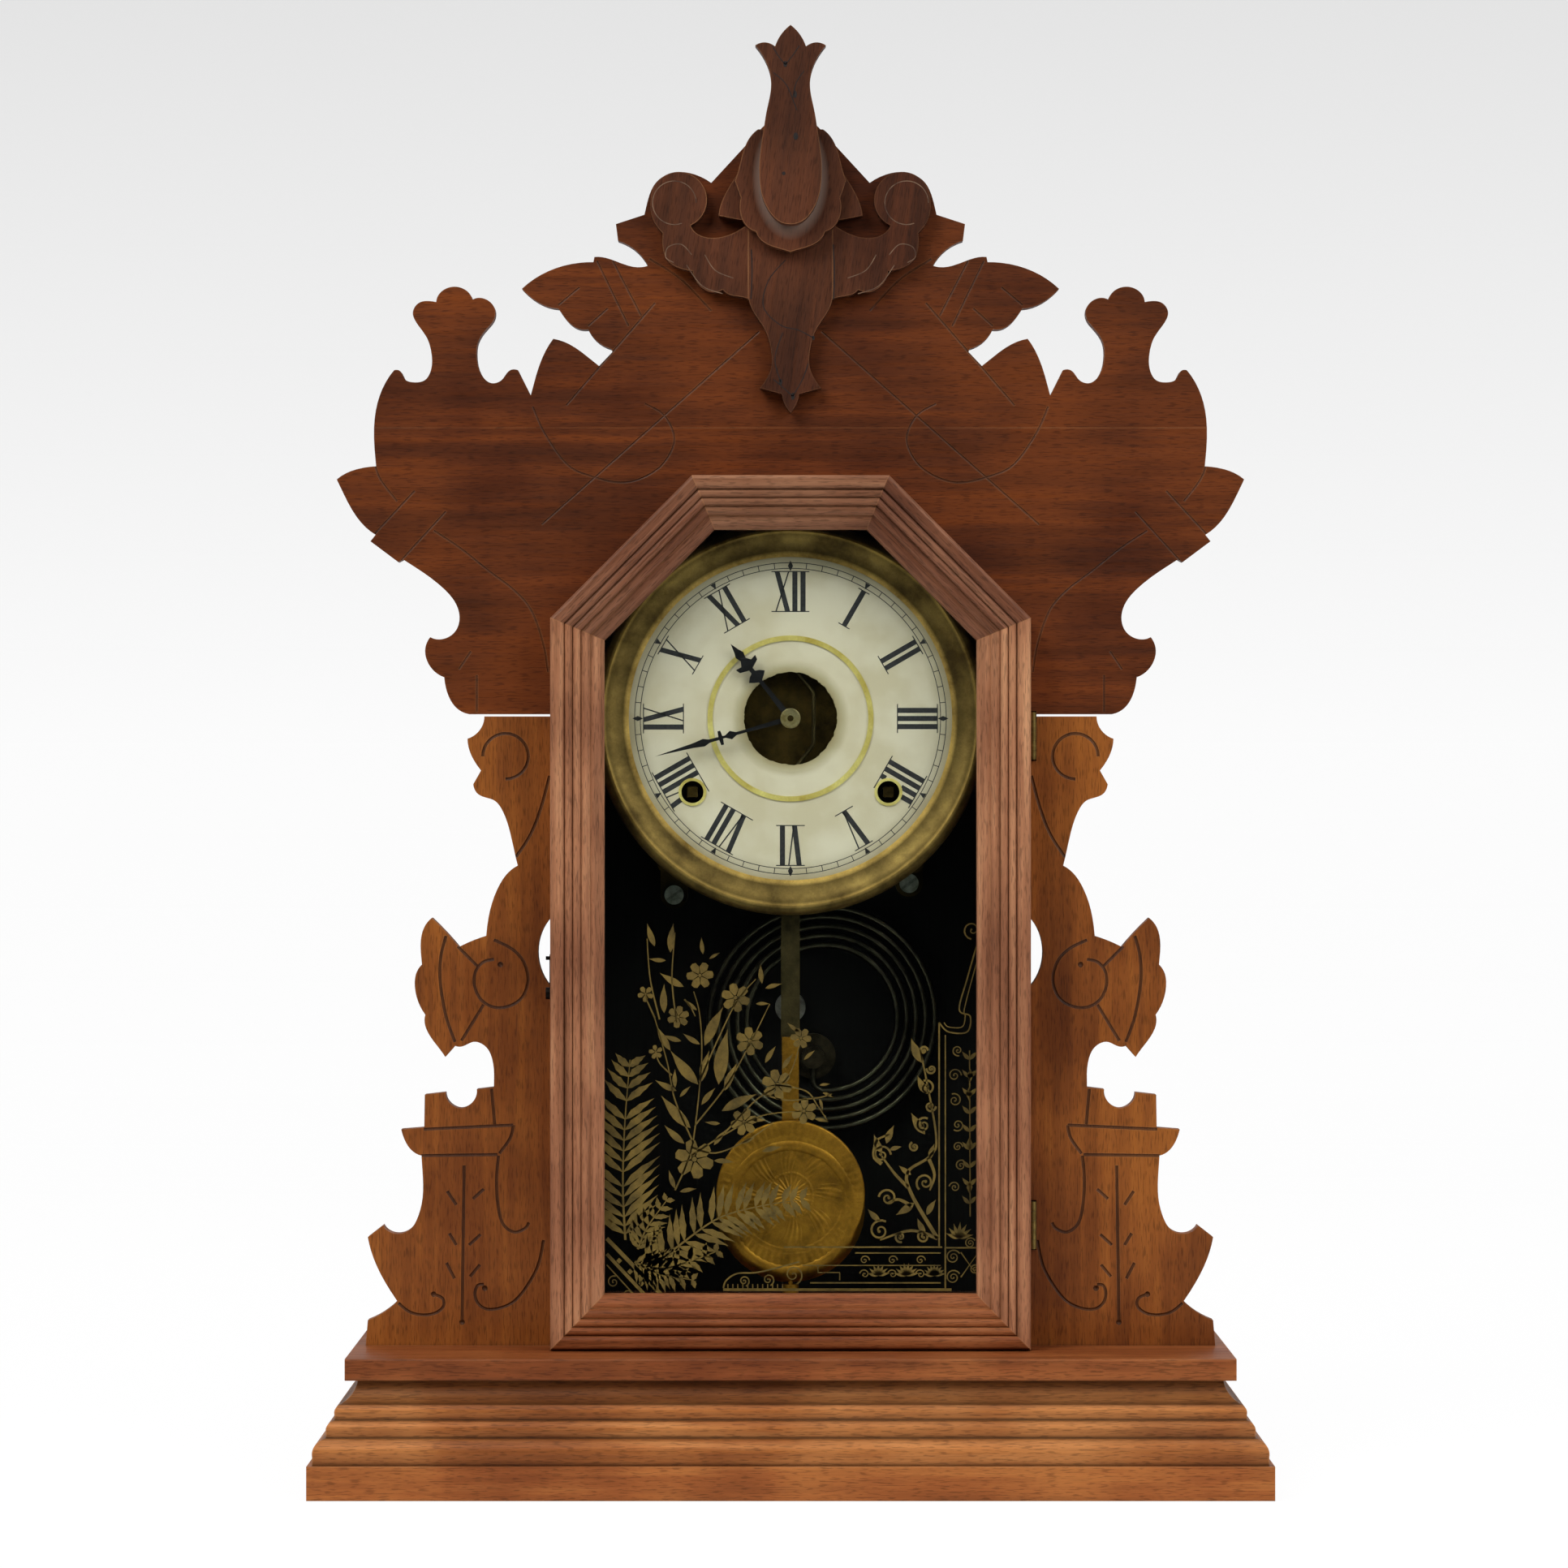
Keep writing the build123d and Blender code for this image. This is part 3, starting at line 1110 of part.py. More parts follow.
post += rod(*gong_post, backboard_front - gong_foot_thickness, backboard_front, gong_foot_radius)
put("gong_post", post - gong)

turn_points = [[arc @ (step / 24) for step in range(25)] for arc in gong_turns]
least_gap = min((p - q).length for i, near in enumerate(turn_points)
                for far in turn_points[i + 2:] for p in near for q in far) - 2 * gong_wire_radius
print(f"gong: least gap between turns {least_gap:.2f} mm")
print(f"hammer pivot {hammer_at}, door pin {pin_x, pin_y}, latch {hook_x, latch_pivot_y, latch_z}")
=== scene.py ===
import math
import random

import bmesh
import bpy
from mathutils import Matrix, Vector


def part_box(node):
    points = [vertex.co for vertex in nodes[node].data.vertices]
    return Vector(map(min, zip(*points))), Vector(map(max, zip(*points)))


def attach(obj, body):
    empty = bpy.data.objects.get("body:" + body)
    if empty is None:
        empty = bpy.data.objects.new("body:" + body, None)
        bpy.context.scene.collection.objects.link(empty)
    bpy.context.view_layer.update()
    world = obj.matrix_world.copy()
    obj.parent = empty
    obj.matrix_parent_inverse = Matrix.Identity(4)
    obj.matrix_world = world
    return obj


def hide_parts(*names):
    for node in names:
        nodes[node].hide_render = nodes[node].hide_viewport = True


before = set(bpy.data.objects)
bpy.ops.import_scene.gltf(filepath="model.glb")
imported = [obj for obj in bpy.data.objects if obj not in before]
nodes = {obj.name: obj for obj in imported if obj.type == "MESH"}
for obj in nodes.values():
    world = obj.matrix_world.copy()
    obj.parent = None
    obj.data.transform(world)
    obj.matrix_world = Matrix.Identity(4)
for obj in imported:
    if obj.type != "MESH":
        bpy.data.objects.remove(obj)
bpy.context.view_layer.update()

mm = 0.001
random.seed(7)

# places on the clock, taken from the frame
bezelLow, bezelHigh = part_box("dial_bezel")
dialZ = (bezelLow.z + bezelHigh.z) / 2
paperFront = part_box("dial_paper")[0].y
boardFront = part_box("crest_lower_board")[0].y
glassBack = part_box("door_glass")[1].y
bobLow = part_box("pendulum_bob")[0]


def deselectAll():
    for item in bpy.context.selected_objects:
        item.select_set(False)


def activate(item):
    deselectAll()
    item.select_set(True)
    bpy.context.view_layer.objects.active = item


def applyModifiers(item):
    activate(item)
    for modifier in list(item.modifiers):
        bpy.ops.object.modifier_apply(modifier=modifier.name)


def addObject(name, data):
    item = bpy.data.objects.new(name, data)
    bpy.context.scene.collection.objects.link(item)
    return item


def linear(hexColour):
    channels = [int(hexColour[i:i + 2], 16) / 255 for i in (1, 3, 5)]
    return [c / 12.92 if c <= 0.04045 else ((c + 0.055) / 1.055) ** 2.4 for c in channels] + [1.0]


def addNode(tree, kind, settings=None, links=None, **attributes):
    node = tree.nodes.new(kind)
    for key, value in attributes.items():
        setattr(node, key, value)
    for key, value in (settings or {}).items():
        node.inputs[key].default_value = value
    for key, source in (links or {}).items():
        tree.links.new(source, node.inputs[key])
    return node


def newMaterial(name, settings):
    material = bpy.data.materials.new(name)
    material.use_nodes = True
    shader = material.node_tree.nodes["Principled BSDF"]
    for key, value in settings.items():
        shader.inputs[key].default_value = value
    return material, material.node_tree, shader


def ramp(tree, source, stops):
    node = addNode(tree, "ShaderNodeValToRGB", links={"Fac": source})
    elements = node.color_ramp.elements
    while len(elements) < len(stops):
        elements.new(0.5)
    for element, (place, colour) in zip(elements, stops):
        element.position = place
        element.color = linear(colour) if isinstance(colour, str) else (colour, colour, colour, 1)
    return node.outputs["Color"]


def blendColours(tree, factor, first, second, kind="MIX"):
    node = addNode(tree, "ShaderNodeMix", data_type="RGBA", blend_type=kind)
    for index, value in ((0, factor), (6, first), (7, second)):
        if isinstance(value, (int, float)):
            node.inputs[index].default_value = value
        elif isinstance(value, str):
            node.inputs[index].default_value = linear(value)
        else:
            tree.links.new(value, node.inputs[index])
    return node.outputs[2]


# a place on the piece, or one of its three coordinates
def onPiece(tree, axis=None):
    place = addNode(tree, "ShaderNodeTexCoord").outputs["Object"]
    if axis is None:
        return place
    return addNode(tree, "ShaderNodeSeparateXYZ", links={0: place}).outputs[axis]


# distance from a line that runs front to back at height z
def reachFrom(tree, z, stretch=(1, 0, 1)):
    place = addNode(tree, "ShaderNodeMapping", {"Location": (0, 0, -z * stretch[2]), "Scale": stretch},
                    {"Vector": onPiece(tree)})
    return addNode(tree, "ShaderNodeVectorMath", links={0: place.outputs[0]},
                   operation="LENGTH").outputs["Value"]


def noise(tree, size, detail, roughness=0.5, turn=0.0, stretch=(1, 1, 1)):
    turnedPlace = addNode(tree, "ShaderNodeMapping", {"Rotation": (0, math.radians(turn), 0)},
                          {"Vector": onPiece(tree)})
    stretched = addNode(tree, "ShaderNodeMapping", {"Scale": stretch}, {"Vector": turnedPlace.outputs[0]})
    return addNode(tree, "ShaderNodeTexNoise", {"Scale": 1 / size, "Detail": detail,
                                                "Roughness": roughness},
                   {"Vector": stretched.outputs[0]}).outputs[0]


# 0 at the low value, 1 at the high one
def between(tree, value, low, high):
    return addNode(tree, "ShaderNodeMapRange", {"From Min": low, "From Max": high},
                   {"Value": value}).outputs[0]


def product(tree, first, second):
    node = addNode(tree, "ShaderNodeMath", links={0: first}, operation="MULTIPLY")
    if isinstance(second, (int, float)):
        node.inputs[1].default_value = second
    else:
        tree.links.new(second, node.inputs[1])
    return node.outputs[0]


def relief(tree, shader, height, strength, distance):
    bump = addNode(tree, "ShaderNodeBump", {"Strength": strength, "Distance": distance},
                   {"Height": height})
    tree.links.new(bump.outputs["Normal"], shader.inputs["Normal"])


def recolour(material, factor, colour, kind="MIX"):
    tree = material.node_tree
    socket = tree.nodes["Principled BSDF"].inputs["Base Color"]
    tree.links.new(blendColours(tree, factor, socket.links[0].from_socket, colour, kind), socket)


# a finish whose tone wanders between a few colours
def mottled(name, settings, size, detail, stops, roughness=0.5):
    material, tree, shader = newMaterial(name, settings)
    tree.links.new(ramp(tree, noise(tree, size, detail, roughness), stops), shader.inputs["Base Color"])
    return material


# camera
cameraPlace = {"x": -2.5 * mm, "y": -1873 * mm, "z": 268.3 * mm, "lens": 111.2, "sensor": 36}
bpy.ops.object.camera_add(location=(cameraPlace["x"], cameraPlace["y"], cameraPlace["z"]),
                          rotation=(math.radians(90), 0, 0))
camera = bpy.context.object
camera.data.lens = cameraPlace["lens"]
camera.data.sensor_width = cameraPlace["sensor"]
bpy.context.scene.camera = camera
bpy.context.scene.view_settings.view_transform = "Standard"

# soft studio light: two broad lamps in front, one above, and a pale room
lamps = {
    "keyLamp": {"place": (-1.0, -1.25, 1.75), "aim": (0, 0, 0.22), "size": 1.1, "power": 25},
    "fillLamp": {"place": (1.3, -1.3, 1.25), "aim": (0, 0, 0.2), "size": 1.2, "power": 16},
    "topLamp": {"place": (0.0, 0.1, 1.7), "aim": (0, 0, 0.2), "size": 1.0, "power": 6},
}
for lampName, lamp in lamps.items():
    aim = Vector(lamp["aim"]) - Vector(lamp["place"])
    bpy.ops.object.light_add(type="AREA", location=lamp["place"],
                             rotation=aim.to_track_quat("-Z", "Y").to_euler())
    light = bpy.context.object
    light.name = lampName
    light.data.size = lamp["size"]
    light.data.energy = lamp["power"]

world = bpy.data.worlds.new("paleRoom")
bpy.context.scene.world = world
world.use_nodes = True
worldTree = world.node_tree
softRoom = worldTree.nodes["Background"]
softRoom.inputs["Strength"].default_value = 0.30


# rays from the camera, and rays that went through the pane
def seenDirectly(tree, throughGlass):
    path = addNode(tree, "ShaderNodeLightPath")
    through = product(tree, path.outputs["Is Transmission Ray"], throughGlass)
    return addNode(tree, "ShaderNodeMath", links={0: path.outputs["Is Camera Ray"], 1: through},
                   operation="MAXIMUM").outputs[0]


# a dark curtain hangs in front of the clock, and what is seen behind it is white
forward = addNode(worldTree, "ShaderNodeSeparateXYZ",
                  links={0: addNode(worldTree, "ShaderNodeTexCoord").outputs["Generated"]}).outputs["Y"]
curtain = ramp(worldTree, between(worldTree, forward, -1.0, 1.0), [(0.03, "#1c1c1d"), (0.16, "#e9eaec")])
worldTree.links.new(curtain, softRoom.inputs["Color"])
whiteRoom = addNode(worldTree, "ShaderNodeBackground", {"Color": linear("#fdfdfd"), "Strength": 1.0})
roomMix = addNode(worldTree, "ShaderNodeMixShader",
                  links={0: seenDirectly(worldTree, between(worldTree, forward, -0.3, 0.1)),
                         1: softRoom.outputs[0], 2: whiteRoom.outputs[0]})
worldTree.links.new(roomMix.outputs[0], worldTree.nodes["World Output"].inputs["Surface"])

# pale floor that curves up into a backdrop
stageSizes = {"width": 9.0, "front": -0.45, "back": 1.3, "bend": 0.8, "top": 3.4, "steps": 14,
              "under": 0.0002}
profile = [(stageSizes["front"], 0.0), (stageSizes["back"], 0.0)]
for step in range(1, stageSizes["steps"] + 1):
    angle = math.pi / 2 * step / stageSizes["steps"]
    profile.append((stageSizes["back"] + stageSizes["bend"] * math.sin(angle),
                    stageSizes["bend"] * (1 - math.cos(angle))))
profile.append((stageSizes["back"] + stageSizes["bend"], stageSizes["top"]))
half = stageSizes["width"] / 2
stageMesh = bpy.data.meshes.new("stageSheet")
stageMesh.from_pydata([(side * half, y, z - stageSizes["under"]) for y, z in profile for side in (-1, 1)], [],
                      [(2 * i, 2 * i + 1, 2 * i + 3, 2 * i + 2) for i in range(len(profile) - 1)])
stageSheet = addObject("stageSheet", stageMesh)
paperRoll, paperTree, paperShader = newMaterial("matt white paper roll", {"Roughness": 0.9,
                                                                          "Base Color": linear("#f2f2f2")})
# painted light: for the camera the roll glows, white at the floor and painted greyer up the backdrop
rollGlow = addNode(paperTree, "ShaderNodeEmission", {"Strength": 1.03},
                   {"Color": ramp(paperTree, onPiece(paperTree, "Z"),
                                  [(0.0, "#ffffff"), (0.3, "#fdfdfd"), (0.92, "#e4e4e4")])})
rollSeen = addNode(paperTree, "ShaderNodeMixShader", {0: 0.92},
                   {1: paperShader.outputs[0], 2: rollGlow.outputs[0]})
rollMix = addNode(paperTree, "ShaderNodeMixShader",
                  links={0: seenDirectly(paperTree, 1.0), 1: paperShader.outputs[0],
                         2: rollSeen.outputs[0]})
paperTree.links.new(rollMix.outputs[0], paperTree.nodes["Material Output"].inputs["Surface"])
stageMesh.materials.append(paperRoll)
print("stage, camera and lamps are set")


# varnished walnut: long soft figure, fine dark pores, uneven tone, painted hollow shade, edges pale by wear
# and painted highlight
woodSizes = {"figure": 110 * mm, "cloud": 75 * mm, "poreLength": 5 * mm, "poreWidth": 0.5 * mm,
             "wornEdge": 0.6 * mm, "hollowShade": 2.5 * mm, "relief": 0.1 * mm, "cutStarts": 0.02 * mm,
             "cutFull": 0.12 * mm}


def walnut(name, dark, middle, light, turn=0.0, grain=1.6, rough=0.42, carved=0.0, worn=0.5,
           streaks=0.3):
    material, tree, shader = newMaterial(name, {"Specular IOR Level": 0.2, "IOR": 1.5})
    along, across = 1 / woodSizes["figure"], 1 / (grain * 4 * mm)
    poreAlong, poreAcross = 1 / woodSizes["poreLength"], 1 / woodSizes["poreWidth"]
    figure = noise(tree, 1.0, 5.0, 0.6, turn, (along, across, across))
    fibre = noise(tree, 1.0, 3.0, 0.7, turn, (along * 3, across * 9, across * 9))
    cloud = noise(tree, woodSizes["cloud"], 3.0, turn=turn)
    pores = noise(tree, 1.0, 1.0, turn=turn, stretch=(poreAlong, poreAcross, poreAcross))
    colour = ramp(tree, figure, [(0.26, dark), (0.52, middle), (0.8, light)])
    toned = blendColours(tree, 0.8, colour, ramp(tree, cloud, [(0.36, "#cfc4c2"), (0.5, "#ffffff")]),
                         "MULTIPLY")
    warmed = blendColours(tree, ramp(tree, cloud, [(0.5, 0.0), (0.68, 0.55)]), toned, light)
    streaked = blendColours(tree, streaks, warmed, ramp(tree, fibre, [(0.35, 0.7), (0.65, 1.3)]), "MULTIPLY")
    pored = blendColours(tree, 0.45, streaked, ramp(tree, pores, [(0.36, 0.2), (0.46, 1.0)]), "MULTIPLY")
    # painted shade: ambient occlusion darkens the hollows
    hollowShade = addNode(tree, "ShaderNodeAmbientOcclusion", {"Distance": woodSizes["hollowShade"]}, samples=4)
    hollowShadeTone = ramp(tree, hollowShade.outputs["AO"], [(0.25, 0.35), (0.62, 1.0)])
    hollowShaded = blendColours(tree, 0.85, pored, hollowShadeTone, "MULTIPLY")
    # edges are made pale in patches, partly by wear and partly as a painted highlight
    normal = addNode(tree, "ShaderNodeNewGeometry").outputs["Normal"]
    rounded = addNode(tree, "ShaderNodeBevel", {"Radius": woodSizes["wornEdge"]}, samples=4)
    facing = addNode(tree, "ShaderNodeVectorMath", links={0: normal, 1: rounded.outputs["Normal"]},
                     operation="DOT_PRODUCT")
    edge = ramp(tree, facing.outputs["Value"], [(0.93, 1.0), (0.995, 0.0)])
    patches = ramp(tree, cloud, [(0.42, 0.25), (0.6, 1.0)])
    paleEdgeWearAndHighlight = blendColours(tree, 1.0, blendColours(tree, 1.0, edge, patches, "MULTIPLY"), hollowShadeTone,
                        "MULTIPLY")
    finished = blendColours(tree, product(tree, paleEdgeWearAndHighlight, worn), hollowShaded, "#a3734a")
    if carved:
        # painted shade in the engraved cuts: a cut's floor lies just behind the board's face and still faces
        # the front, and is darkened
        behind = between(tree, onPiece(tree, "Y"), boardFront + woodSizes["cutStarts"],
                         boardFront + woodSizes["cutFull"])
        front = addNode(tree, "ShaderNodeSeparateXYZ", links={0: normal}).outputs["Y"]
        floor = product(tree, behind, between(tree, front, -0.1, -0.25))
        finished = blendColours(tree, product(tree, floor, carved), finished, "#140a05")
    bright = addNode(tree, "ShaderNodeVectorMath", {"Scale": 1.5}, {0: finished}, operation="SCALE")
    tree.links.new(bright.outputs[0], shader.inputs["Base Color"])
    gloss = ramp(tree, fibre, [(0.3, rough + 0.14), (0.7, rough - 0.04)])
    tree.links.new(gloss, shader.inputs["Roughness"])
    relief(tree, shader, blendColours(tree, 0.5, pores, fibre), 0.18, woodSizes["relief"])
    return material


crestWalnut = walnut("dark walnut, rubbed varnish", "#3c1c0b", "#52270f", "#703713", carved=0.4, worn=0.25,
                     streaks=0.12)
overlayWalnut = walnut("dark walnut, carved and handled", "#351d12", "#472717", "#5f3521", turn=82,
                       grain=1.3, worn=0.55)
panelWalnut = walnut("walnut panel, rubbed varnish", "#5c3012", "#77421a", "#935722", turn=90,
                     carved=0.65, worn=0.3, streaks=0.2)
deckWalnut = walnut("walnut deck, dark varnish", "#5c2f15", "#763f1e", "#955a2f", rough=0.38, worn=0.9)
courseWalnut = walnut("walnut courses, worn nosings, painted light and shade", "#68391b", "#8c5327", "#ad7441", rough=0.38,
                      worn=0.9)
baseWalnut = walnut("walnut base, worn varnish", "#6a3a1b", "#894d24", "#a86b36", rough=0.38, worn=0.8)
# the door moulding is one walnut: foot, level rail, uprights and corners are darker and lighter copies,
# painted shade and painted light
doorFoot = walnut("walnut moulding, dark foot", "#52280f", "#743e1f", "#915a35", grain=1.0, worn=0.7)
doorLevel = walnut("walnut moulding, level", "#54311e", "#7b5139", "#9c7153", grain=1.0, worn=0.7)
doorUpright = walnut("walnut moulding, upright", "#6b442d", "#976547", "#bb8a64", turn=90, grain=1.0,
                     worn=0.8)
doorRising = walnut("walnut moulding, rising", "#4d2c1a", "#704631", "#92674c", turn=45, grain=1.0,
                    worn=0.7)
doorFalling = walnut("walnut moulding, falling", "#4d2c1a", "#704631", "#92674c", turn=-45, grain=1.0,
                     worn=0.7)
pine = walnut("stained pine", "#3a2415", "#51331e", "#6b482b", turn=90, grain=2.6, rough=0.7, worn=0.2)
pineLevel = walnut("stained pine rail", "#3a2415", "#51331e", "#6b482b", grain=2.6, rough=0.7, worn=0.2)

# painted shade under each nosing of the base and in the cove above them, painted highlight on the nosing
# fronts
courseTree = courseWalnut.node_tree
courseLow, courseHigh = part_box("base_mouldings")
courseShare = between(courseTree, onPiece(courseTree, "Z"), courseLow.z, courseHigh.z)
courseShadeAndHighlight = ramp(courseTree, courseShare,
                   [(0.0, 0.3), (0.06, 0.85), (0.24, 1.15), (0.30, 0.9), (0.325, 0.25), (0.36, 0.8),
                    (0.48, 1.15), (0.51, 0.9), (0.535, 0.25), (0.57, 0.8), (0.67, 1.15), (0.70, 0.9),
                    (0.72, 0.28), (0.76, 0.55), (0.92, 0.6), (1.0, 0.35)])
recolour(courseWalnut, 1.0, courseShadeAndHighlight, "MULTIPLY")

# the collar is scooped round the tulip's foot, and a pale painted highlight lies on the scoop
collarWalnut = overlayWalnut.copy()
collarWalnut.name = "dark walnut, scooped, pale painted highlight"
collarTree = collarWalnut.node_tree
scoop = {"middle": 0.501, "tall": 0.62, "inner": 9 * mm, "outer": 16 * mm}
collarReach = reachFrom(collarTree, scoop["middle"], (1, 0, scoop["tall"]))
# painted highlight: a pale ring on the scoop round the tulip's foot
rubbed = ramp(collarTree, between(collarTree, collarReach, scoop["inner"], scoop["outer"]),
              [(0.1, 0.0), (0.4, 0.6), (0.6, 0.35), (0.85, 0.0)])
recolour(collarWalnut, rubbed, "#a08a7c")

# stained pine outside, coloured near black inside the case
caseFinish = {"wall": 8 * mm, "blackFull": 0.1 * mm, "blackEnds": 0.3 * mm}


def blackenedInside(name, axis, face, ceiling=None):
    material = pine.copy()
    material.name = name
    tree = material.node_tree
    tree.nodes["Principled BSDF"].inputs["Specular IOR Level"].default_value = 0.1
    near, far = caseFinish["blackFull"], caseFinish["blackEnds"]
    value = onPiece(tree, axis)
    if ceiling:
        value = addNode(tree, "ShaderNodeMath", links={0: value}, operation="ABSOLUTE").outputs[0]
    share = between(tree, value, face + far, face + near)
    if ceiling:
        share = product(tree, share, between(tree, onPiece(tree, "Z"), ceiling + far, ceiling + near))
    recolour(material, share, "#0b0b09")
    return material


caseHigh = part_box("case_sides_and_top")[1]
sideBlack = blackenedInside("pine case, black inside", "X", caseHigh.x - caseFinish["wall"],
                            caseHigh.z - caseFinish["wall"])
backBlack = blackenedInside("pine backboard, black inside", "Y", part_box("backboard")[0].y)

# metals: tone from soft clouds, fine scratches, painted shade in hollows
metalSizes = {"scratch": 0.6 * mm, "hollowShade": 1.5 * mm, "relief": 0.03 * mm}


def metal(name, dark, light, rough, cloudSize=14, metallic=1.0):
    material, tree, shader = newMaterial(name, {"Metallic": metallic, "Roughness": rough})
    cloud = noise(tree, cloudSize * mm, 6.0, 0.65)
    fine = noise(tree, metalSizes["scratch"], 2.0)
    colour = ramp(tree, cloud, [(0.34, dark), (0.62, light)])
    worn = blendColours(tree, 0.25, colour, ramp(tree, fine, [(0.35, 0.6), (0.7, 1.2)]), "MULTIPLY")
    # painted shade: ambient occlusion darkens the hollows of the metal
    hollowShade = addNode(tree, "ShaderNodeAmbientOcclusion", {"Distance": metalSizes["hollowShade"]}, samples=4)
    shadedInHollows = blendColours(tree, 0.8, worn, ramp(tree, hollowShade.outputs["AO"], [(0.3, 0.25), (0.8, 1.0)]),
                         "MULTIPLY")
    tree.links.new(shadedInHollows, shader.inputs["Base Color"])
    gloss = ramp(tree, cloud, [(0.3, min(rough + 0.2, 1.0)), (0.7, rough)])
    tree.links.new(gloss, shader.inputs["Roughness"])
    relief(tree, shader, fine, 0.3, metalSizes["relief"])
    return material


bezelBrass = metal("spun brass, tarnished", "#5b4720", "#a38648", 0.42, cloudSize=22, metallic=0.85)
# painted light on the spun bezel: highlights painted beside the paper and on its ridge, painted shade with
# tarnish between them
bezelTree = bezelBrass.node_tree
bezelFlange = {"inner": 62 * mm, "outer": 77 * mm}
bezelShare = between(bezelTree, reachFrom(bezelTree, dialZ), bezelFlange["inner"], bezelFlange["outer"])
bezelHighlightAndShade = ramp(bezelTree, bezelShare,
                  [(0.04, 2.4), (0.12, 2.0), (0.2, 0.55), (0.5, 0.8), (0.62, 0.6), (0.7, 1.7), (0.78, 0.5),
                   (1.0, 0.9)])
recolour(bezelBrass, 1.0, bezelHighlightAndShade, "MULTIPLY")
# the trim rings take a pale yellow colour and little metal, a painted sheen standing in for their bright
# reflection
trimBrass = metal("bright rolled brass", "#bda648", "#f2e58a", 0.3, cloudSize=18, metallic=0.35)
bobBrass = metal("stamped brass, lacquer gone", "#74521a", "#b5832c", 0.38, cloudSize=12)
plateBrass = metal("sawn brass plate, brown with age", "#241d0d", "#4a3c1c", 0.5)
hingeBrass = metal("small brass hardware, dull", "#5a4826", "#97814a", 0.4, cloudSize=6)
nutBrass = metal("turned brass nut", "#8a7c4c", "#cabf8c", 0.3, cloudSize=5)
steel = metal("dark mild steel", "#3f3e3a", "#77756c", 0.42, cloudSize=8)
screwSteel = metal("filed steel screw heads", "#7f8678", "#b8bfb0", 0.35, cloudSize=4)
stripSteel = metal("pendulum strip, brown steel", "#2b2617", "#4f462c", 0.45, cloudSize=16)
gongSteel = metal("tempered gong wire", "#2c2a22", "#5a5745", 0.3, cloudSize=20)
postIron = metal("japanned cast iron", "#1d1a14", "#3a3426", 0.5, cloudSize=6)
handSteel = metal("blackened hand steel", "#0c0c0e", "#1c1c1f", 0.38, cloudSize=9, metallic=0.6)
tinPlate = metal("tinned dial plate", "#57503c", "#7a7058", 0.5, cloudSize=12)
darkIron = metal("blackened iron hook", "#0f0e0c", "#2a2622", 0.4, cloudSize=3)

# aged cream paper: yellowed towards the hole and the rim
dialPaper, dialTree, dialShader = newMaterial("printed dial paper, cream with age", {"Roughness": 0.55})
paperSizes = {"edge": 64 * mm, "stain": 16 * mm, "fibre": 0.5 * mm, "relief": 0.03 * mm}
rimTone = ramp(dialTree, between(dialTree, reachFrom(dialTree, dialZ), 0.0, paperSizes["edge"]),
               [(0.28, "#a3966c"), (0.36, "#d9cfb4"), (0.86, "#dbd2b9"), (1.0, "#a2977a")])
stain = ramp(dialTree, noise(dialTree, paperSizes["stain"], 5.0), [(0.36, "#dcd5c0"), (0.6, "#ffffff")])
dialTree.links.new(blendColours(dialTree, 0.5, rimTone, stain, "MULTIPLY"),
                   dialShader.inputs["Base Color"])
relief(dialTree, dialShader, noise(dialTree, paperSizes["fibre"], 2.0), 0.15, paperSizes["relief"])

# printer's ink, slightly uneven black
ink = mottled("letterpress ink", {"Roughness": 0.5}, 1.2 * mm, 3.0, [(0.35, "#17171a"), (0.7, "#2e2e30")])

# gold leaf on the back of the pane: thin, rubbed, olive where it has gone thin
gilt = mottled("rubbed gold leaf", {"Metallic": 0.3, "Roughness": 0.5}, 9 * mm, 6.0,
               [(0.3, "#4b3a14"), (0.6, "#80652b")], 0.7)

# old window glass: clear, faintly green; lamps shine through it
pane, paneTree, paneShader = newMaterial("old window glass", {"Roughness": 0.0, "IOR": 1.5,
                                                              "Transmission Weight": 1.0,
                                                              "Specular IOR Level": 0.12,
                                                              "Base Color": linear("#f4faf6")})
relief(paneTree, paneShader, noise(paneTree, 60 * mm, 1.0), 0.02, 0.2 * mm)
shadowRay = addNode(paneTree, "ShaderNodeLightPath").outputs["Is Shadow Ray"]
lampThrough = addNode(paneTree, "ShaderNodeBsdfTransparent")
paneMix = addNode(paneTree, "ShaderNodeMixShader",
                  links={0: shadowRay, 1: paneShader.outputs[0], 2: lampThrough.outputs[0]})
paneTree.links.new(paneMix.outputs[0], paneTree.nodes["Material Output"].inputs["Surface"])

